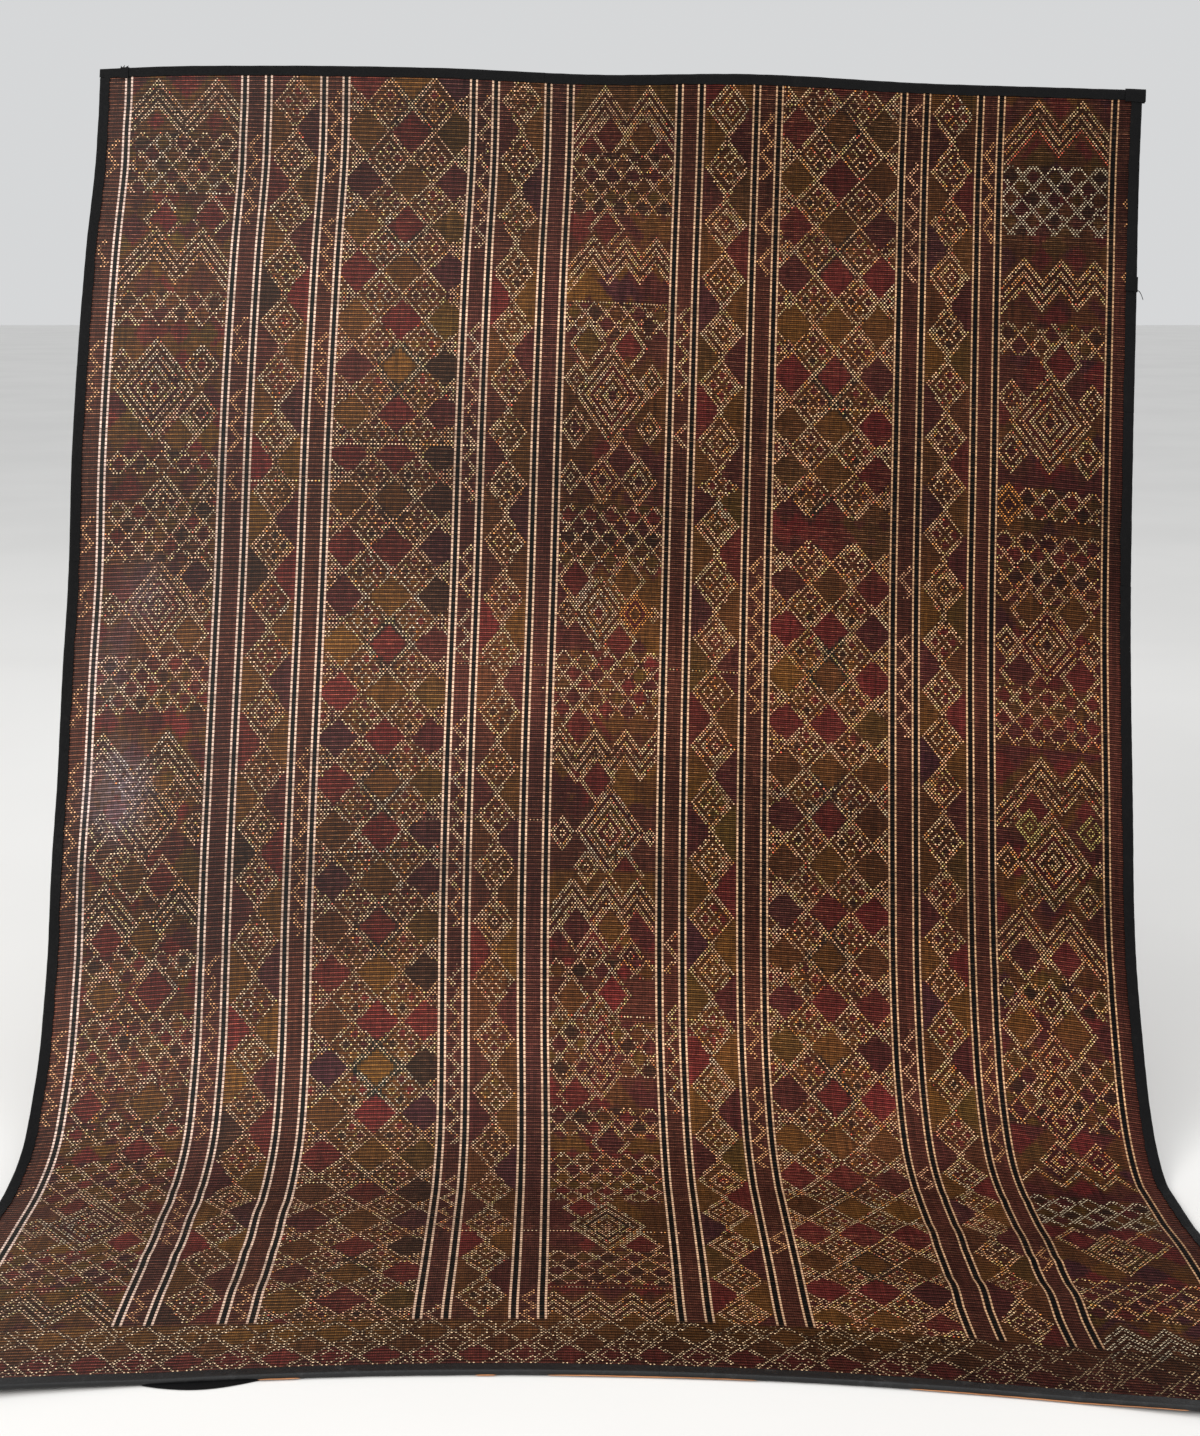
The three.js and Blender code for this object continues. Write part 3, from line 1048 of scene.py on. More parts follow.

# %% Painted light and shade
# painted light and shade: the right side, away from the light, is the darker one, above all near the top, and
# the slope towards the viewer, which faces the light, is the lightest
evening = np.clip((share_down - 0.2) / 0.4, 0, 1)
painted_side_light = 1 - 0.52 * share_across * (1 - 0.55 * evening)
painted_side_light *= 1 + (0.58 + 0.5 * bell((share_across - 0.4) / 0.35)) * bell((down - 1640) / 300)
painted_side_light *= 1 + 0.1 * np.clip((down - 1400) / 300, 0, 1)
painted_side_light *= 1 - 0.2 * bell((share_across - 0.5) / 0.4) * bell((down - 560) / 300)
leather_tint = np.array([0.94, 0.925, 0.865])
straw_tint = np.array([0.97, 0.95, 1.06])
# the leather turns redder towards the right side, and the reeds yellower
leather_turn = np.array([-0.04, -0.16, 0.04])
straw_turn = np.array([0.0, -0.08, -0.24])
leather *= painted_side_light[..., None] * leather_tint
straw *= (painted_side_light**0.4)[..., None]
leather *= 1 + share_across[..., None] * leather_turn
straw *= 1 + share_across[..., None] * straw_turn
straw *= straw_tint
straw /= np.maximum(straw.max(axis=-1, keepdims=True), 1)
# no two crossings have taken the dye alike
leather *= rng.uniform(0.68, 1.32, leather.shape[:2])[..., None]
print("tone from side to side:", painted_side_light.min().round(2), "to", painted_side_light.max().round(2))

# %% Painted sheen along the reeds, and bright reeds
# painted highlight: a thin line of sheen on the reeds between the dots, stronger on the left, where the light
# comes from, and on some rows
reed_tone = np.clip(0.75 + 0.4 * rng.standard_normal(reed_count), 0.1, 1.6)
reed_shine = reed_tone[:, None] * np.clip(1.2 - 0.7 * share_across + 0.5 * soft_noise(12, 30, 13), 0.1, 1.6)
bright_reeds = [
    # down, across from, across to
    (650, 430, 660), (1017, 560, 1160), (1055, 790, 1000), (1328, 430, 640), (1275, 560, 800),
    (1592, 815, 1160), (1615, 980, 1050), (400, 820, 1000), (560, 1170, 1350), (1905, 420, 560),
    (2060, 660, 1000), (2222, 815, 990), (2240, 1200, 1350), (2210, 80, 240), (712, 290, 460),
]
# on these rows the reed shows in every second cell, and its painted sheen is at its strongest
for low, start, end in bright_reeds:
    cells = (np.floor(reed) == math.floor(low / reed_pitch)) & (across > start) & (across < end)
    reed_shine[cells] = 1.5
    dot(cells & ~bead & ~is_black)
print("mean shine of the reeds:", round(float(reed_shine.mean()), 3))

# %% A pale place on the left: painted sheen over leather worn by rubbing
# across, down, half across, half down, strength
rubbed_sheen_places = [(100, 1215, 85, 120, 0.5), (120, 890, 70, 90, 0.16), (80, 1020, 60, 130, 0.18)]
rubbed_and_sheen = np.zeros(raised.shape)
for middle, low, half_across, half_down, strength in rubbed_sheen_places:
    rubbed_and_sheen += bell(np.hypot((across - middle) / half_across, (down - low) / half_down)) * strength
rubbed_and_sheen = np.clip(rubbed_and_sheen * (1 + 0.7 * rng.standard_normal(rubbed_and_sheen.shape)), 0, 0.8)[..., None]
# painted sheen where the light from the left glints, over leather worn by rubbing: leather and reeds are
# mixed with pale, cool colours
leather = leather * (1 - rubbed_and_sheen) + linear((160, 140, 148)) * rubbed_and_sheen
straw = straw * (1 - rubbed_and_sheen) + linear((225, 215, 220)) * rubbed_and_sheen
print("rubbed cells:", int((rubbed_and_sheen > 0.2).sum()))

# %% [markdown]
# ## From cells to faces
# A face of the mesh is one column wide, so two strips, and reaches from the middle of one reed to
# the middle of the next. It must know for four cells whether the reed shows. The four answers are
# packed into one number: 1 and 2 for the upper reed, 4 and 8 for the lower one, and 16 says that
# the face lies in a light stripe.

# %% Values for each face
# the first and the last row of faces lie on one reed alone
upper = np.clip(np.arange(reed_count + 1) - 1, 0, reed_count - 1)
lower = np.clip(np.arange(reed_count + 1), 0, reed_count - 1)


def per_face(values):
    """Mean over the two strips and the two reeds of each face."""
    pair_of_strips = (values[:, 0::2] + values[:, 1::2]) / 2
    return (pair_of_strips[upper] + pair_of_strips[lower]) / 2


face_leather = per_face(leather)
face_shine = per_face(reed_shine)
weight = np.where(raised | bead, 1.0, 1e-6)
face_straw = per_face(straw * weight[..., None]) / per_face(weight)[..., None]
left = raised[:, 0::2].astype(int)
right = raised[:, 1::2].astype(int)
face_code = left[upper] + 2 * right[upper] + 4 * left[lower] + 8 * right[lower]
face_code = face_code + 16 * bead[:, 0::2][lower]
print("faces on the face side:", face_code.size, "codes used:", len(np.unique(face_code)))

# %% [markdown]
# ## Node helpers
# A material is a small graph. These helpers add one node at a time and join it, so that each finish
# below reads as a list of steps. A value that is the same everywhere is typed into the shader's own
# socket.

# %% Nodes and arithmetic
def put(tree, socket, value):
    """Join a socket, or type a number or a colour into it."""
    if isinstance(value, bpy.types.NodeSocket):
        tree.links.new(value, socket)
    else:
        socket.default_value = value


def add(tree, kind, inputs=None, **settings):
    """A node with its settings and inputs, named or numbered."""
    node = tree.nodes.new(kind)
    for name, value in settings.items():
        setattr(node, name, value)
    for name, value in (inputs or {}).items():
        put(tree, node.inputs[name], value)
    return node


def calc(tree, operation, *values):
    """One step of arithmetic."""
    return add(tree, "ShaderNodeMath", dict(enumerate(values)), operation=operation).outputs[0]


def times(tree, first, *factors):
    """Product of all the values."""
    for factor in factors:
        first = calc(tree, "MULTIPLY", first, factor)
    return first


def line(tree, value, slope, start):
    """Value times slope plus start."""
    return calc(tree, "MULTIPLY_ADD", value, slope, start)


def ramp(tree, value, low, high, start=0.0, end=1.0):
    """Smooth step from start to end as value goes from low to high."""
    inputs = {"Value": value, "From Min": low, "From Max": high, "To Min": start, "To Max": end}
    return add(tree, "ShaderNodeMapRange", inputs, interpolation_type="SMOOTHSTEP").outputs["Result"]


print("arithmetic helpers ready")


# %% Colours, noise and bump
def blend(tree, share, first, second, mode="MIX"):
    """First colour where the share is 0 and second where it is 1, or another mode of mixing them."""
    node = tree.nodes.new("ShaderNodeMix")
    node.data_type = "RGBA"
    node.blend_type = mode
    node.clamp_factor = True
    for name, value in (("Factor_Float", share), ("A_Color", first), ("B_Color", second)):
        socket = next(s for s in node.inputs if s.identifier == name)
        put(tree, socket, value)
    return next(s for s in node.outputs if s.identifier == "Result_Color")


def tint(tree, colour, *factors):
    """A colour times one or more numbers or colours, one after the other."""
    for factor in factors:
        colour = blend(tree, 1.0, colour, factor, "MULTIPLY")
    return colour


def noise(tree, vector, scale, detail=2.0, rough=0.5):
    """Smooth random value, about 0 to 1."""
    inputs = {"Vector": vector, "Scale": scale, "Detail": detail, "Roughness": rough}
    return add(tree, "ShaderNodeTexNoise", inputs).outputs["Fac"]


def relief(tree, shader, height, strength):
    """Bump from a height of 0 to about 1, which stands for 0.7 mm."""
    bump = add(tree, "ShaderNodeBump", {"Strength": strength, "Distance": 0.0007, "Height": height})
    put(tree, shader.inputs["Normal"], bump.outputs[0])


print("colour helpers ready")


# %% A new material
def new_material(name):
    """A material with its tree, shader and object coordinates."""
    material = bpy.data.materials.new(name)
    material.use_nodes = True
    tree = material.node_tree
    tree.nodes.clear()
    shader = tree.nodes.new("ShaderNodeBsdfPrincipled")
    output = tree.nodes.new("ShaderNodeOutputMaterial")
    tree.links.new(shader.outputs[0], output.inputs["Surface"])
    place = tree.nodes.new("ShaderNodeTexCoord").outputs["Object"]
    return material, tree, shader, place


def rgb(colour):
    """Screen colour as a socket value."""
    return (*[float(c) for c in linear(colour)], 1.0)


print("material helper ready")

# %% [markdown]
# ## Finish of the weave
# The mesh carries two colours on each face, the dye of the leather and the colour of the reeds, and
# the code that says where a reed shows. Its own UV map counts strips and reeds. The fraction inside
# a cell places the dot, a thin painted highlight along the reed, the dark gaps between strips, and
# painted shade between the reeds, on the lower reeds and around the dots. Noise along the strips and
# along the reeds breaks all of this up.

# %% Reading the code in a material
def shows_reed(tree, u, v, code):
    """1 where the cell's own bit of the code is set: code divided by 1, 2, 4 or 8, whole and odd."""
    right_half = calc(tree, "FLOORED_MODULO", calc(tree, "FLOOR", u), 2.0)
    lower_reed = calc(tree, "LESS_THAN", calc(tree, "FRACT", v), 0.5)
    place = line(tree, lower_reed, 2.0, right_half)
    divided = calc(tree, "DIVIDE", calc(tree, "ADD", code, 0.01), calc(tree, "POWER", 2.0, place))
    return calc(tree, "FLOORED_MODULO", calc(tree, "FLOOR", divided), 2.0)


def off_middle(tree, value, cells=1.0, shift=0.0):
    """Distance from the middle of its cell, 0 to 0.5, for cells that are so many units long."""
    scaled = calc(tree, "FRACT", line(tree, value, 1.0 / cells, shift))
    return calc(tree, "ABSOLUTE", calc(tree, "SUBTRACT", scaled, 0.5))


def weave_places(tree):
    """The weave's own map, and its counts of strips and reeds."""
    uv = add(tree, "ShaderNodeUVMap", uv_map="weave").outputs[0]
    parts = add(tree, "ShaderNodeSeparateXYZ", {0: uv}).outputs
    return uv, parts[0], parts[1]


def stretched(tree, uv, across, down):
    """The map with its two directions scaled, for noise that runs along strips or reeds."""
    return add(tree, "ShaderNodeMapping", {"Vector": uv, "Scale": (across, down, 1.0)}).outputs[0]


print("code and map helpers ready")


# %% Woven face: the dot and the bead
def dot_share(tree, dx, dy, low_reed, wobble, is_dot):
    """A rounded dot, a little irregular, smaller on the lower reeds.

    Its edge is where (x/half width)^2.6 + (y/half height)^2 is one, all counted in cells.
    """
    half_wide = line(tree, wobble, 0.14, line(tree, low_reed, -0.04, 0.42))
    half_high = line(tree, wobble, -0.12, line(tree, low_reed, -0.05, 0.36))
    x = calc(tree, "POWER", calc(tree, "DIVIDE", dx, half_wide), 2.6)
    y = calc(tree, "POWER", calc(tree, "DIVIDE", dy, half_high), 2.0)
    from_middle = calc(tree, "SQRT", calc(tree, "ADD", x, y))
    return times(tree, ramp(tree, from_middle, 0.8, 1.15, 1.0, 0.0), is_dot)


def bead_share(tree, u, v, x_place, is_stripe):
    """The light stripes: one smooth bead for each two reeds, wider towards the left."""
    x = calc(tree, "DIVIDE", off_middle(tree, u, 2.0), ramp(tree, x_place, -0.4, 0.7, 1.0, 0.74))
    y = off_middle(tree, v, 2.0, 0.25)
    return times(
        tree, ramp(tree, x, 0.30, 0.44, 1.0, 0.0), is_stripe, ramp(tree, y, 0.22, 0.5, 1.0, 0.1)
    )


print("dot and bead ready")


# %% Woven face: the leather
def weave_face_material():
    """Dyed leather with its gaps, a painted highlight along each reed and painted shade between the reeds,
    and dots where the code says so.
    """
    material, tree, shader, place = new_material("weave_face")
    uv, u, v = weave_places(tree)
    dye = add(tree, "ShaderNodeVertexColor", layer_name="leather").outputs
    yarn = add(tree, "ShaderNodeVertexColor", layer_name="straw").outputs
    is_stripe = calc(tree, "GREATER_THAN", yarn["Alpha"], 15.5)
    is_dot = shows_reed(tree, u, v, yarn["Alpha"])
    dx = off_middle(tree, u)
    dy = off_middle(tree, v)
    # the lower reeds are darker, and more so on the left, where the light comes from
    x_place = add(tree, "ShaderNodeSeparateXYZ", {0: place}).outputs[0]
    low_reed = calc(tree, "FLOORED_MODULO", calc(tree, "FLOOR", v), 2.0)
    low_reed = times(tree, low_reed, ramp(tree, x_place, -0.6, 0.4, 1.15, 0.7))
    # one random number for each crossing
    cell = add(tree, "ShaderNodeVectorMath", {0: uv}, operation="FLOOR").outputs[0]
    chance = add(tree, "ShaderNodeTexWhiteNoise", {"Vector": cell}, noise_dimensions="2D").outputs["Value"]
    wobble = calc(tree, "SUBTRACT", chance, 0.5)
    dots = dot_share(tree, dx, dy, low_reed, wobble, is_dot)
    shown = calc(tree, "MAXIMUM", dots, bead_share(tree, u, v, x_place, is_stripe))

    strip_gap = ramp(tree, dx, 0.34, 0.5)
    reed_gap = ramp(tree, dy, 0.14, 0.42)
    streak = ramp(tree, noise(tree, stretched(tree, uv, 0.12, 1.0), 1.3, 3.0, 0.7), 0.38, 0.72)
    strip_streak = noise(tree, stretched(tree, uv, 1.0, 0.035), 0.9, 2.0, 0.6)
    strip_streak = ramp(tree, strip_streak, 0.3, 0.7, 0.78, 1.2)
    # painted highlight: a thin pale line of sheen along the middle of each reed, broken by the streaks
    sheen_line_share = times(
        tree, ramp(tree, dy, 0.04, 0.22, 1.0, 0.0), streak, dye["Alpha"],
        line(tree, low_reed, -0.55, 0.85), line(tree, strip_gap, -0.6, 1.0), line(tree, wobble, 1.6, 1.15),
    )
    grain = noise(tree, place, 300.0, 3.0, 0.6)
    stain = ramp(tree, noise(tree, place, 7.0, 4.0), 0.3, 0.7, 0.82, 1.16)
    worn = times(tree, stain, strip_streak)
    base = tint(tree, dye["Color"], ramp(tree, grain, 0.25, 0.75, 0.75, 1.2), worn)
    painted_sheen_colour = blend(tree, 0.34, tint(tree, base, (2.6, 2.5, 2.4, 1.0)), rgb((204, 148, 108)))
    base = blend(tree, sheen_line_share, base, painted_sheen_colour)
    # painted shade: darker in the gaps between the reeds, on the lower reeds and around the dots; the gaps
    # between the strips are dark joints
    shade = times(
        tree, line(tree, strip_gap, -0.5, 1.0), line(tree, reed_gap, -0.88, 1.0),
        line(tree, low_reed, -0.5, 1.0), line(tree, is_dot, -0.35, 1.0),
    )
    base = tint(tree, base, shade)

    # the reed itself, with its fibres; the beads of the stripes are smoother and all alike
    reed_tone = ramp(tree, noise(tree, stretched(tree, uv, 0.8, 9.0), 1.0, 2.0), 0.3, 0.7, 0.9, 1.2)
    # painted shade: the reeds that show on the lower rows are darker; the wobble makes each crossing differ a
    # little
    uneven = line(tree, low_reed, -0.55, times(tree, wobble, 0.5))
    reed_tone = times(tree, reed_tone, line(tree, calc(tree, "SUBTRACT", 1.0, is_stripe), uneven, 1.0))
    reed_colour = tint(tree, yarn["Color"], reed_tone)
    put(tree, shader.inputs["Base Color"], blend(tree, shown, base, reed_colour))
    put(tree, shader.inputs["Roughness"], ramp(tree, grain, 0.2, 0.8, 0.5, 0.75))
    put(tree, shader.inputs["Specular IOR Level"], ramp(tree, x_place, -0.9, 0.3, 0.26, 0.06))
    height = line(tree, reed_gap, -0.8, times(tree, strip_gap, -0.35))
    height = line(tree, grain, 0.3, line(tree, dots, 0.35, height))
    relief(tree, shader, height, 0.55)
    return material


weave_face = weave_face_material()
print("face material nodes:", len(weave_face.node_tree.nodes))


# %% Woven back
def weave_back_material():
    """The back has no dots: the same dyed strips, duller, and the reeds show between them."""
    material, tree, shader, place = new_material("weave_back")
    uv, u, v = weave_places(tree)
    # the strips go over and under by turns, like the fields of a chessboard
    column = calc(tree, "FLOOR", times(tree, u, 0.5))
    row = calc(tree, "FLOOR", times(tree, v, 0.5))
    turn = calc(tree, "FLOORED_MODULO", calc(tree, "ADD", column, row), 2.0)
    strip_edge = ramp(tree, off_middle(tree, u, 2.0), 0.34, 0.44, 1.0, 0.0)
    strip_here = times(tree, strip_edge, line(tree, turn, 0.35, 0.62))
    reed_hue = ramp(tree, noise(tree, stretched(tree, uv, 0.05, 3.0), 1.0, 3.0, 0.6), 0.3, 0.7)
    reed_colour = blend(tree, reed_hue, rgb((146, 112, 72)), rgb((188, 156, 108)))
    strip_hue = ramp(tree, noise(tree, stretched(tree, uv, 0.5, 0.02), 1.0, 2.0), 0.35, 0.65)
    strip_colour = blend(tree, strip_hue, rgb((58, 38, 30)), rgb((92, 58, 40)))
    dye = add(tree, "ShaderNodeVertexColor", layer_name="leather").outputs["Color"]
    base = blend(tree, strip_here, reed_colour, blend(tree, 0.88, strip_colour, dye))
    grain = noise(tree, place, 240.0, 4.0, 0.6)
    reed_gap = ramp(tree, off_middle(tree, v), 0.28, 0.5)
    stain = ramp(tree, noise(tree, place, 5.0, 4.0), 0.3, 0.7, 0.82, 1.1)
    # the grain and the stains are the leather's own; the darkening in the gaps between the reeds is painted
    # shade
    base = tint(tree, base, ramp(tree, grain, 0.25, 0.75, 0.78, 1.15), line(tree, reed_gap, -0.6, 1.0), stain)
    put(tree, shader.inputs["Base Color"], base)
    put(tree, shader.inputs["Roughness"], ramp(tree, grain, 0.2, 0.8, 0.6, 0.85))
    height = line(tree, reed_gap, -0.9, times(tree, strip_here, 0.5))
    relief(tree, shader, line(tree, grain, 0.3, height), 0.6)
    return material


weave_back = weave_back_material()
print("back material nodes:", len(weave_back.node_tree.nodes))

# %% [markdown]
# ## The woven sheet as a mesh
# The face has a row of points in the middle of each reed. Every second row lies higher, so the cloth
# is really ribbed. The back is ribbed too, with columns twice as wide. Rims close each panel to a
# solid sheet. The sheet is cut into five panels beside black stripes, to keep each mesh light.

# %% The whole grid of points
crest_lift = 2.25
valley_lift = 1.35
back_thinner = 0.2
row_reeds = np.concatenate([[0], np.arange(reed_count) + 0.5, [reed_count]])
row_places = row_reeds * reed_pitch
row_lift = np.where(np.arange(len(row_reeds)) % 2 == 1, crest_lift, valley_lift)
row_lift[[0, -1]] = (crest_lift + valley_lift) / 2


def grid_normals(points):
    """Step down crossed with step across at each grid point, at length one."""
    normals = np.cross(np.gradient(points, axis=0), np.gradient(points, axis=1))
    return normals / np.linalg.norm(normals, axis=2, keepdims=True)


middle_grid = mat_point(*np.meshgrid(column_edges, row_places))
normal_grid = grid_normals(middle_grid)
face_grid = middle_grid + normal_grid * row_lift[:, None, None]
back_grid = middle_grid - normal_grid * (row_lift[::-1] - back_thinner)[:, None, None]
print("grid of points:", face_grid.shape)


# %% Mesh building helpers
def build_mesh(name, points, faces, materials, material_index=None, flat=None, uv=None, colours=None):
    """A mesh from arrays: points in millimetres, and faces as index arrays, one row for each."""
    mesh = bpy.data.meshes.new(name)
    loops = np.concatenate([f.ravel() for f in faces]).astype(np.int32)
    sides = np.concatenate([np.full(len(f), f.shape[1]) for f in faces])
    starts = np.concatenate([[0], np.cumsum(sides)[:-1]]).astype(np.int32)
    mesh.vertices.add(len(points))
    mesh.vertices.foreach_set("co", (points * MM).astype(np.float32).ravel())
    mesh.loops.add(len(loops))
    mesh.loops.foreach_set("vertex_index", loops)
    mesh.polygons.add(len(starts))
    mesh.polygons.foreach_set("loop_start", starts)
    for material in materials:
        mesh.materials.append(material)
    if material_index is not None:
        mesh.polygons.foreach_set("material_index", material_index.astype(np.int32))
    if uv is not None:
        layer = mesh.uv_layers.new(name="weave")
        layer.data.foreach_set("uv", uv.astype(np.float32).ravel())
    for layer_name, values in (colours or {}).items():
        layer = mesh.color_attributes.new(layer_name, "FLOAT_COLOR", "CORNER")
        layer.data.foreach_set("color", values.astype(np.float32).ravel())
    mesh.update(calc_edges=True)
    smooth = np.ones(len(starts), bool) if flat is None else ~flat
    mesh.polygons.foreach_set("use_smooth", smooth)
    # a rim meets the face and the back at a sharp edge, so that it doesn't tilt their shading
    edge_of_loop = np.empty(len(loops), np.int32)
    mesh.loops.foreach_get("edge_index", edge_of_loop)
    sharp = np.zeros(len(mesh.edges), bool)
    sharp[edge_of_loop[np.repeat(~smooth, sides)]] = True
    mesh.attributes.new("sharp_edge", "BOOLEAN", "EDGE").data.foreach_set("value", sharp)
    mesh.validate()
    obj = bpy.data.objects.new(name, mesh)
    bpy.context.scene.collection.objects.link(obj)
    return obj


def finish_piece(obj, nodes):
    """Every piece rides on the one body and hides the CAD nodes it stands for."""
    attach(obj, "root")
    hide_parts(*nodes)
    return obj


print("mesh helpers ready")


# %% Faces of a panel
def panel_faces(columns):
    """Index arrays of a closed sheet: face, back, and the rims at the top, bottom, left and right.

    The face's points come first. The back has half as many columns, so a face of the top or bottom
    rim has three points of the face and two of the back.
    """
    end = len(row_reeds) - 1
    back_columns = columns // 2
    back_start = (end + 1) * (columns + 1)

    def on_face(i, j):
        """Number of a point of the face, counted row by row."""
        return i * (columns + 1) + j

    def on_back(i, j):
        """The same for the back, whose points follow those of the face."""
        return back_start + i * (back_columns + 1) + j

    i, j = np.meshgrid(np.arange(end), np.arange(columns), indexing="ij")
    front = np.stack([on_face(i, j), on_face(i + 1, j), on_face(i + 1, j + 1), on_face(i, j + 1)], -1)
    i, j = np.meshgrid(np.arange(end), np.arange(back_columns), indexing="ij")
    behind = np.stack([on_back(i, j), on_back(i, j + 1), on_back(i + 1, j + 1), on_back(i + 1, j)], -1)
    j = np.arange(back_columns)
    top = [on_face(0, 2 * j), on_face(0, 2 * j + 1), on_face(0, 2 * j + 2), on_back(0, j + 1), on_back(0, j)]
    bottom = [
        on_face(end, 2 * j), on_back(end, j), on_back(end, j + 1),
        on_face(end, 2 * j + 2), on_face(end, 2 * j + 1),
    ]
    i = np.arange(end)
    left = [on_face(i, 0), on_back(i, 0), on_back(i + 1, 0), on_face(i + 1, 0)]
    right = [
        on_face(i, columns), on_face(i + 1, columns), on_back(i + 1, back_columns), on_back(i, back_columns),
    ]
    rims = [np.stack(rim, -1) for rim in (top, bottom, left, right)]
    return [front.reshape(-1, 4), behind.reshape(-1, 4), *rims]


print("faces of a panel two columns wide:", sum(len(f) for f in panel_faces(2)))


# %% Colours of a panel
def panel_colours(first, last, loop_count):
    """Dye with shine, and reed colour with code, at each corner of the faces.

    A face of the back takes the lower value of the two face columns before it, and rims stay dark.
    """
    cells = slice(first, last)
    colours = {}
    layers = (("leather", face_leather, face_shine), ("straw", face_straw, face_code))
    for layer_name, colour, extra in layers:
        values = np.concatenate([colour[:, cells], extra[:, cells, None]], -1)
        behind = np.minimum(values[:, 0::2], values[:, 1::2])
        by_face = np.concatenate([values.reshape(-1, 4), behind.reshape(-1, 4)])
        others = np.zeros((loop_count - 4 * len(by_face), 4))
        colours[layer_name] = np.concatenate([np.repeat(by_face, 4, axis=0), others])
    return colours


print("rows of faces in a panel:", len(face_leather))


# %% Panels
def panel(name, first, last):
    """The columns from first to last as a closed sheet, with its map in strips and reeds."""
    columns = last - first
    face = face_grid[:, first : last + 1].reshape(-1, 3)
    back = back_grid[:, first : last + 1 : 2].reshape(-1, 3)
    faces = panel_faces(columns)
    counts = [len(f) for f in faces]
    flat = np.repeat([False, False, True, True, True, True], counts)
    material_index = np.repeat([0, 1, 1, 1, 1, 1], counts)

    loops = np.concatenate([f.ravel() for f in faces])
    in_face = loops < len(face)
    local = np.where(in_face, loops, loops - len(face))
    wide = np.where(in_face, columns + 1, columns // 2 + 1)
    across_map = np.where(in_face, 2, 4) * (np.where(in_face, first, first // 2) + local % wide)
    uv = np.stack([across_map, row_reeds[local // wide]], -1)
    colours = panel_colours(first, last, len(loops))
    points = np.concatenate([face, back])
    obj = build_mesh(name, points, faces, [weave_face, weave_back], material_index, flat, uv, colours)
    finish_piece(obj, ["woven_mat"])
    obj["flat_width"] = float(column_edges[last] - column_edges[first]) * MM
    return obj


# the cuts lie just left of four of the black stripes, at even columns
cut_stripes = [4, 8, 11, 14]
panel_cuts = [0] + [black_columns[k] - 2 + black_columns[k] % 2 for k in cut_stripes] + [column_count]
panels = []
for k, (first, last) in enumerate(zip(panel_cuts[:-1], panel_cuts[1:])):
    panels.append(panel(f"woven_panel_{k + 1}", first, last))
for p in panels:
    p.data.calc_loop_triangles()
    print(p.name, "triangles:", len(p.data.loop_triangles))

# %% [markdown]
# ## Bound edges
# A strip of black leather is folded over each edge and sewn down. Its section is a lip on the face,
# a half round over the edge and a lip on the back. The section is carried along the edge on the
# mat's own surface. The cut of the lip wanders a little, as it does when cut by hand.

# %% Black leather finish
def leather_material(name, colour, rub, rough, shine=0.12):
    """Dyed hide: cloudy tone, fine grain and pale rubbing where the grain stands up."""
    material, tree, shader, place = new_material(name)
    cloud = noise(tree, place, 9.0, 4.0, 0.6)
    fine = noise(tree, place, 420.0, 3.0, 0.6)
    base = tint(tree, rgb(colour), ramp(tree, cloud, 0.3, 0.7, 0.75, 1.3))
    scuff = times(tree, ramp(tree, noise(tree, place, 60.0, 5.0, 0.7), 0.52, 0.8), 0.6)
    put(tree, shader.inputs["Base Color"], blend(tree, scuff, base, rgb(rub)))
    put(tree, shader.inputs["Specular IOR Level"], shine)
    put(tree, shader.inputs["Roughness"], ramp(tree, fine, 0.25, 0.75, *rough))
    pebble = add(tree, "ShaderNodeTexVoronoi", {"Vector": place, "Scale": 700.0}).outputs["Distance"]
    relief(tree, shader, line(tree, pebble, 0.5, times(tree, cloud, 1.2)), 0.5)
    return material


black_leather = leather_material("black_leather", (5, 5, 6), (22, 21, 20), (0.5, 0.75))
# the bottom binding's pale rubbing is painted sheen along the fold as well as scuffing, and its shine is
# higher
worn_leather = leather_material("worn_leather", (13, 13, 14), (54, 54, 55), (0.35, 0.6), 0.4)
raw_leather = leather_material("raw_leather", (176, 122, 84), (150, 100, 66), (0.6, 0.85))
print("leather finishes:", black_leather.name, worn_leather.name, raw_leather.name)


# %% Closed slabs
def grid_faces(rows, columns, offset=0):
    """Quads of a grid, first step down and then step across."""
    i, j = np.meshgrid(np.arange(rows - 1), np.arange(columns - 1), indexing="ij")
    a = offset + i * columns + j
    return np.stack([a, a + columns, a + columns + 1, a + 1], -1).reshape(-1, 4)


def closed_slab(name, outer, inner, material):
    """A closed wall between two grids, with the outer one looking out and flat rims."""
    rows, columns = outer.shape[:2]
    size = rows * columns
    top = grid_faces(rows, columns)
    under = grid_faces(rows, columns, size)[:, ::-1]
    left = np.arange(rows - 1) * columns
    right = left + columns - 1
    head = np.arange(columns - 1)
    tail = head + (rows - 1) * columns
    rims = [
        [left, size + left, size + left + columns, left + columns],
        [right, right + columns, size + right + columns, size + right],
        [head, head + 1, size + head + 1, size + head],
        [tail, size + tail, size + tail + 1, tail + 1],
    ]
    faces = [top, under] + [np.stack(rim, -1) for rim in rims]
    flat = np.arange(sum(len(f) for f in faces)) >= len(top) + len(under)
    points = np.concatenate([outer.reshape(-1, 3), inner.reshape(-1, 3)])
    return build_mesh(name, points, faces, [material], flat=flat)


print("slab helpers ready")

# %% The fold's section and its wandering cut
fold_steps = 12
lip_steps = 4


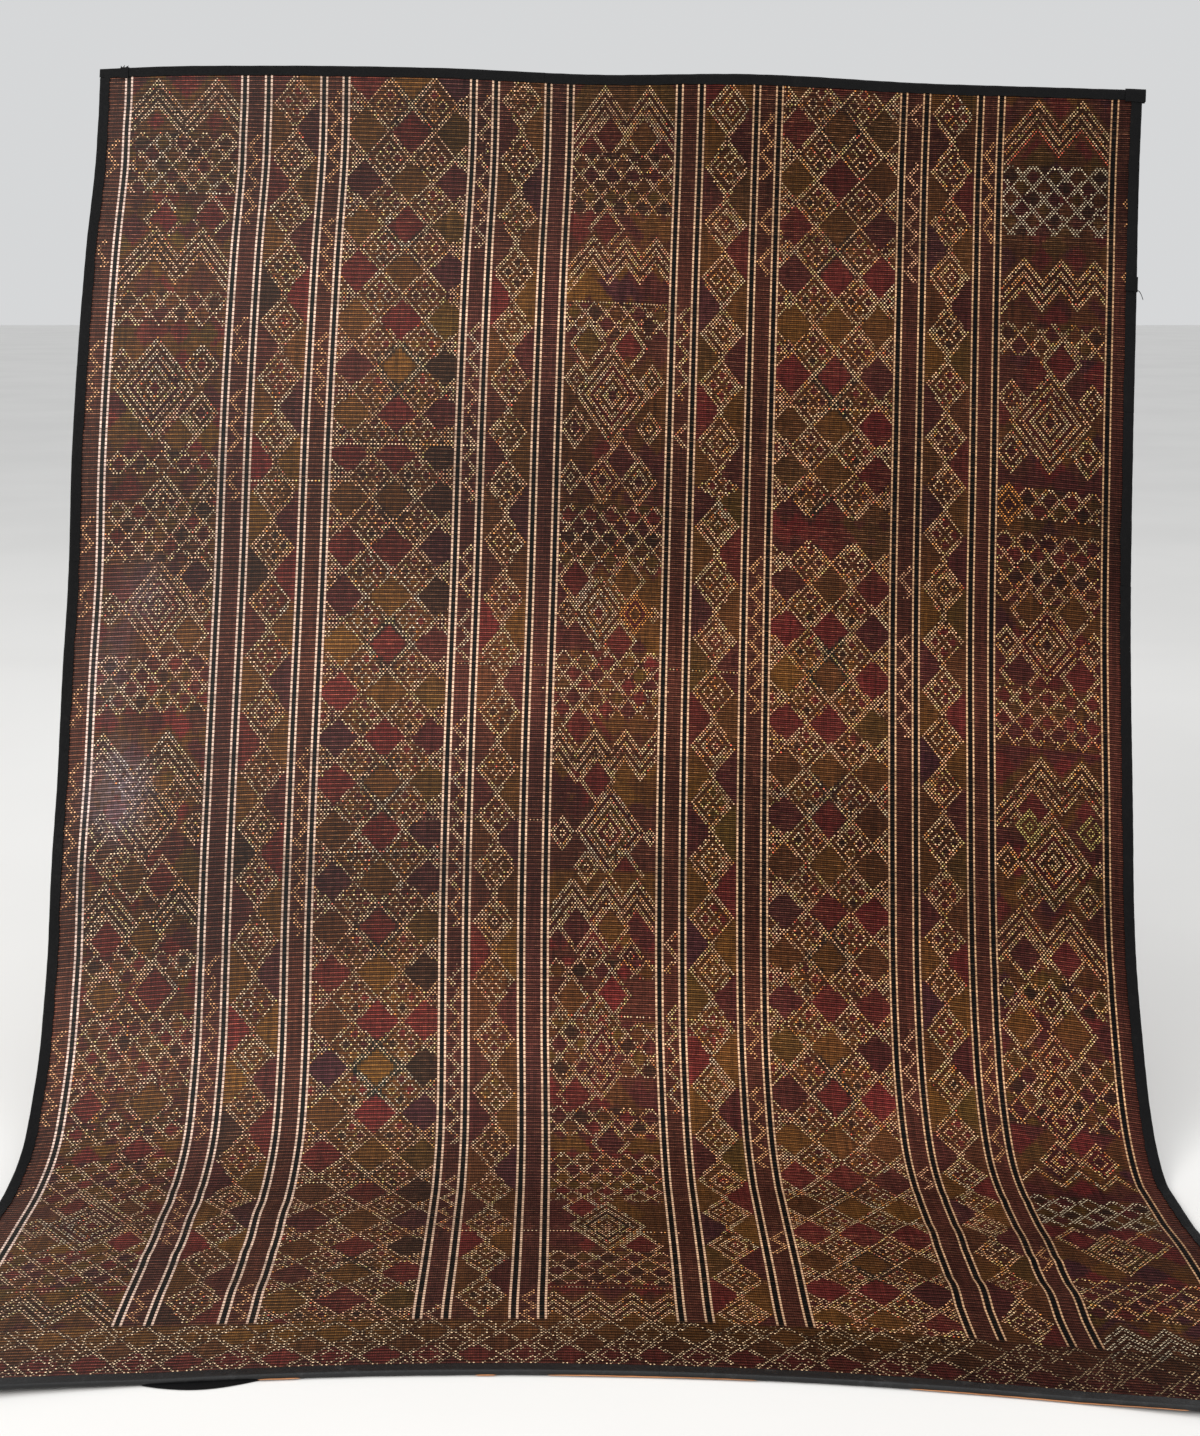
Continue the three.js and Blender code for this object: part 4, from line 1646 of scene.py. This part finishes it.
def fold_section(radius, lip):
    """Inset from the edge and height off the mat: lip, half circle, lip."""
    angles = np.linspace(np.pi / 2, 3 * np.pi / 2, fold_steps + 1)
    arc = np.stack([radius * np.cos(angles), radius * np.sin(angles)], -1)
    lip_in = np.linspace(lip, 0, lip_steps + 1)[:-1]
    front = np.stack([lip_in, np.full(lip_steps, radius)], -1)
    behind = np.stack([lip_in[::-1], np.full(lip_steps, -radius)], -1)
    return np.concatenate([front, arc, behind])


def wander(run, seed, size):
    """A slow uneven wave along a run, from a few sines with seeded lengths and shifts."""
    source = np.random.default_rng(seed)
    total = np.zeros_like(run)
    for wave in (310.0, 137.0, 61.0, 29.0):
        total += np.sin(run / wave * 2 * np.pi + source.uniform(0, 6.28)) * source.uniform(0.3, 1.0)
    return total * size / 2


print("points of the fold's section:", len(fold_section(leather_reach, binding_lip)))

# %% Folded lengths
# a place on each edge from the run along it and the inset from it
edge_places = {
    "top": lambda run, inset: (run, inset),
    "bottom": lambda run, inset: (run, mat_length - inset),
    "left": lambda run, inset: (inset, run),
    "right": lambda run, inset: (mat_width - inset, run),
}
# on these two the section runs the other way round, so its grids are turned over
turned_edges = ("bottom", "left")
fold_pitch = 6
cut_wander = 1.1
puff_wander = 0.22


def folded_length(name, edge, start, end, seed, grow=0.0, node=None):
    """Black leather over one stretch of an edge; grow makes it lie that far over another length.

    Each section of the fold stands across the edge. Its cut wanders, and its bend is a little fuller
    or flatter along the run.
    """
    steps = max(2, int(round((end - start) / fold_pitch)))
    run = np.linspace(start, end, steps + 1)[:, None]
    grids = []
    for radius in (leather_reach, leather_reach - leather_thickness):
        radius = radius + grow
        section = fold_section(radius, binding_lip + 1.5 * grow)
        share = np.clip(section[:, 0] / binding_lip, 0, 1)[None, :]
        inset = section[:, 0][None, :] + wander(run, seed, cut_wander) * share
        puff = wander(run, seed + 50, puff_wander) * (1 - share)
        scale = 1 + puff / radius
        runs = np.broadcast_to(run, inset.shape)
        place = edge_places[edge](runs, np.where(share > 0, inset, inset * scale))
        grids.append(offset_point(*place, section[:, 1][None, :] * scale))
    outer, inner = [grid[:, ::-1] if edge in turned_edges else grid for grid in grids]
    obj = closed_slab(name, outer, inner, worn_leather if edge == "bottom" else black_leather)
    return finish_piece(obj, [node or name])


print("edges:", ", ".join(edge_places))

# %% Bindings
# where one length of leather ends and the next begins, along each edge
bottom_cut = 948
side_start = binding_lip + piece_gap
side_end = mat_length - side_start
edge_runs = {
    "top": (["left", "right"], [-leather_reach, 760, mat_width + leather_reach]),
    "bottom": (["left", "right"], [-leather_reach, bottom_cut, mat_width + leather_reach]),
    "left": ([1, 2, 3, 4], [side_start, 523, 840, 1557, side_end]),
    "right": ([1, 2, 3, 4], [side_start, 328, 531, 816, side_end]),
}
bindings = {}
for edge, (endings, marks) in edge_runs.items():
    for k, ending in enumerate(endings):
        name = f"binding_{edge}_{ending}"
        start = marks[k] + (piece_gap / 2 if k else 0)
        end = marks[k + 1] - (piece_gap / 2 if k < len(endings) - 1 else 0)
        bindings[name] = folded_length(name, edge, start, end, 100 + 7 * len(bindings))
print("bindings:", len(bindings))

# %% [markdown]
# ## Worn places of the edge
# The leather laps over itself at the two top corners and is frayed there, a thread hangs loose at
# the right side, and at the bottom the raw cut edge and one slack flap show below the fold. Each is
# a small piece of its own: a short fold, a thin tube along a path, or a thin slab.

# %% Thin tubes
tube_sides = 8


def thin_tube(name, path, radii, material, node):
    """A closed tube: at each point of the path a ring that stands square to the path's direction."""
    ahead = np.gradient(path, axis=0)
    ahead /= np.linalg.norm(ahead, axis=1, keepdims=True)
    first = np.cross(ahead, np.array([0.31, 0.22, 0.92]))
    first /= np.linalg.norm(first, axis=1, keepdims=True)
    second = np.cross(ahead, first)
    turn = np.linspace(0, 2 * np.pi, tube_sides, endpoint=False)[None, :, None]
    ring = first[:, None] * np.cos(turn) + second[:, None] * np.sin(turn)
    points = path[:, None] + ring * radii[:, None, None]
    i, j = np.meshgrid(np.arange(len(path) - 1), np.arange(tube_sides), indexing="ij")
    a = i * tube_sides + j
    b = i * tube_sides + (j + 1) % tube_sides
    side_faces = np.stack([a, b, b + tube_sides, a + tube_sides], -1).reshape(-1, 4)
    end_cap = np.array([[0, 1, 2, 3], [0, 3, 4, 7], [4, 5, 6, 7]])
    faces = [side_faces, end_cap[:, ::-1], end_cap + (len(path) - 1) * tube_sides]
    obj = build_mesh(name, points.reshape(-1, 3), faces, [material])
    return finish_piece(obj, [node])


print("tube helper ready")

# %% Laps, frays and the loose thread
right_end = mat_width + leather_reach + 5
small_pieces = [
    folded_length("lap_top_left", "top", 32, 46, 211, 1.4, "binding_top_left"),
    folded_length("lap_top_right", "top", mat_width - 24, right_end, 212, 1.7, "binding_top_right"),
    folded_length("lap_right", "right", 314, 338, 213, 1.6, "binding_right_2"),
]
# place across, how far the tip leans, and how high it stands
frays = [(34, -3, 4), (37, 1, 5), (42, 3, 3.5)]
s = np.linspace(0, 1, 9)
for k, (place, lean, high) in enumerate(frays):
    path = offset_point(place + lean * s, -leather_reach - 0.5 - high * s, 2.5 - 3 * s**2)
    small_pieces.append(thin_tube(f"fray_{k}", path, 1.1 - 0.8 * s, black_leather, "binding_top_left"))
s = np.linspace(0, 1, 17)
thread_down = 341 - 5 * np.sin(3 * s) + 12 * s**3
thread = offset_point(mat_width - 2 + 15 * s, thread_down, leather_reach + 0.5 + 3 * s)
small_pieces.append(thin_tube("loose_thread", thread, 0.9 - 0.4 * s, black_leather, "binding_right_2"))
print("laps, frays and thread:", len(small_pieces))

# %% Raw edges and the slack flap
raw_runs = [(445, 498), (717, 743), (808, 1069), (1258, 1590)]
for k, (start, end) in enumerate(raw_runs):
    s = np.linspace(0, 1, int((end - start) / 4) + 1)
    run = start + (end - start) * s
    waver = wander(run, 300 + k, 0.7)
    raw_down = mat_length + leather_reach + 0.4 + 0.3 * waver
    raw = offset_point(run, raw_down, -0.5 * leather_reach + 0.5 * waver)
    node = "binding_bottom_left" if start < bottom_cut else "binding_bottom_right"
    thick = 0.2 + 0.6 * np.sin(np.pi * s) ** 0.3
    small_pieces.append(thin_tube(f"raw_edge_{k}", raw, thick, raw_leather, node))

flap_start = 302
flap_end = 447
flap_thickness = 1.2
run = np.linspace(flap_start, flap_end, 24)[:, None]
out = np.linspace(0, 1, 6)[None, :]
slack = 15 * np.sin(np.pi * (run - flap_start) / (flap_end - flap_start))
flap_down = mat_length + leather_reach - 5 + out * (slack + 4.5)
flap_run = np.broadcast_to(run, flap_down.shape)
flap_rise = np.broadcast_to(-leather_reach + 2.4 - 0.8 * out**2, flap_down.shape)
upper_side = offset_point(flap_run, flap_down, flap_rise)[:, ::-1]
under_side = offset_point(flap_run, flap_down, flap_rise - flap_thickness)[:, ::-1]
flap = closed_slab("slack_flap", upper_side, under_side, black_leather)
small_pieces.append(finish_piece(flap, ["binding_bottom_left"]))
print("small pieces of leather:", len(small_pieces))

# %% [markdown]
# ## Sheets and their sizes
# Each panel is part of one woven sheet of 1.75 by 2.44 m, so each is declared with its own width.
# Reeds and leather hardly stretch, so the size of a sheet tells whether its hanging shape is right.

print("sheet widths:", [round(p["flat_width"], 3) for p in panels])

# %% [markdown]
# ## Floor and light
# A plain pale floor, a large soft light from the left, a weaker one from the right and a weak one
# from above. The sky is pale too, so the floor ends behind the mat in a quiet line.

# %% Floor
floor_material, floor_tree, floor_shader, floor_place = new_material("pale_floor")
floor_tone = ramp(floor_tree, noise(floor_tree, floor_place, 0.8, 3.0), 0.3, 0.7, 0.97, 1.02)
floor_colour = tint(floor_tree, rgb((234, 233, 231)), floor_tone)
put(floor_tree, floor_shader.inputs["Base Color"], floor_colour)
put(floor_tree, floor_shader.inputs["Roughness"], 0.6)
floor_size = 60.0
floor_gap = 0.0005
floor_z = -top_height * MM - floor_gap
floor_mesh = bpy.data.meshes.new("floor")
corners = [(-1, -1), (1, -1), (1, 1), (-1, 1)]
floor_mesh.from_pydata([(x * floor_size, y * floor_size, floor_z) for x, y in corners], [], [(0, 1, 2, 3)])
floor_mesh.materials.append(floor_material)
floor = bpy.data.objects.new("floor", floor_mesh)
bpy.context.scene.collection.objects.link(floor)
print("floor at", floor_z)


# %% Lights
def soft_light(name, place, target, size, power, colour):
    """A square area light that looks at a target."""
    data = bpy.data.lights.new(name, "AREA")
    data.shape = "SQUARE"
    data.size = size
    data.energy = power
    data.color = colour
    obj = bpy.data.objects.new(name, data)
    obj.location = place
    direction = np.array(target, float) - np.array(place, float)
    yaw = math.atan2(direction[1], direction[0]) - math.pi / 2
    pitch = math.atan2(direction[2], math.hypot(direction[0], direction[1]))
    obj.rotation_euler = (math.pi / 2 + pitch, 0, yaw)
    bpy.context.scene.collection.objects.link(obj)
    return obj


soft_light("key_light", (-6.4, -6.4, 3.6), (0, -0.4, -0.8), 4.6, 560, (1.0, 0.98, 0.95))
soft_light("fill_light", (6.2, -6.4, 2.4), (0, -0.4, -0.9), 4.6, 120, (1.0, 0.97, 0.94))
soft_light("top_light", (0.0, -1.2, 5.2), (0, -0.6, -1.0), 5.0, 130, (1.0, 1.0, 1.0))

# %% Pale sky
world = bpy.data.worlds.new("pale_sky")
world.use_nodes = True
sky = world.node_tree.nodes["Background"]
sky.inputs["Color"].default_value = (0.80, 0.81, 0.82, 1)
sky.inputs["Strength"].default_value = 0.84
bpy.context.scene.world = world
print("sky strength:", round(sky.inputs["Strength"].default_value, 2))
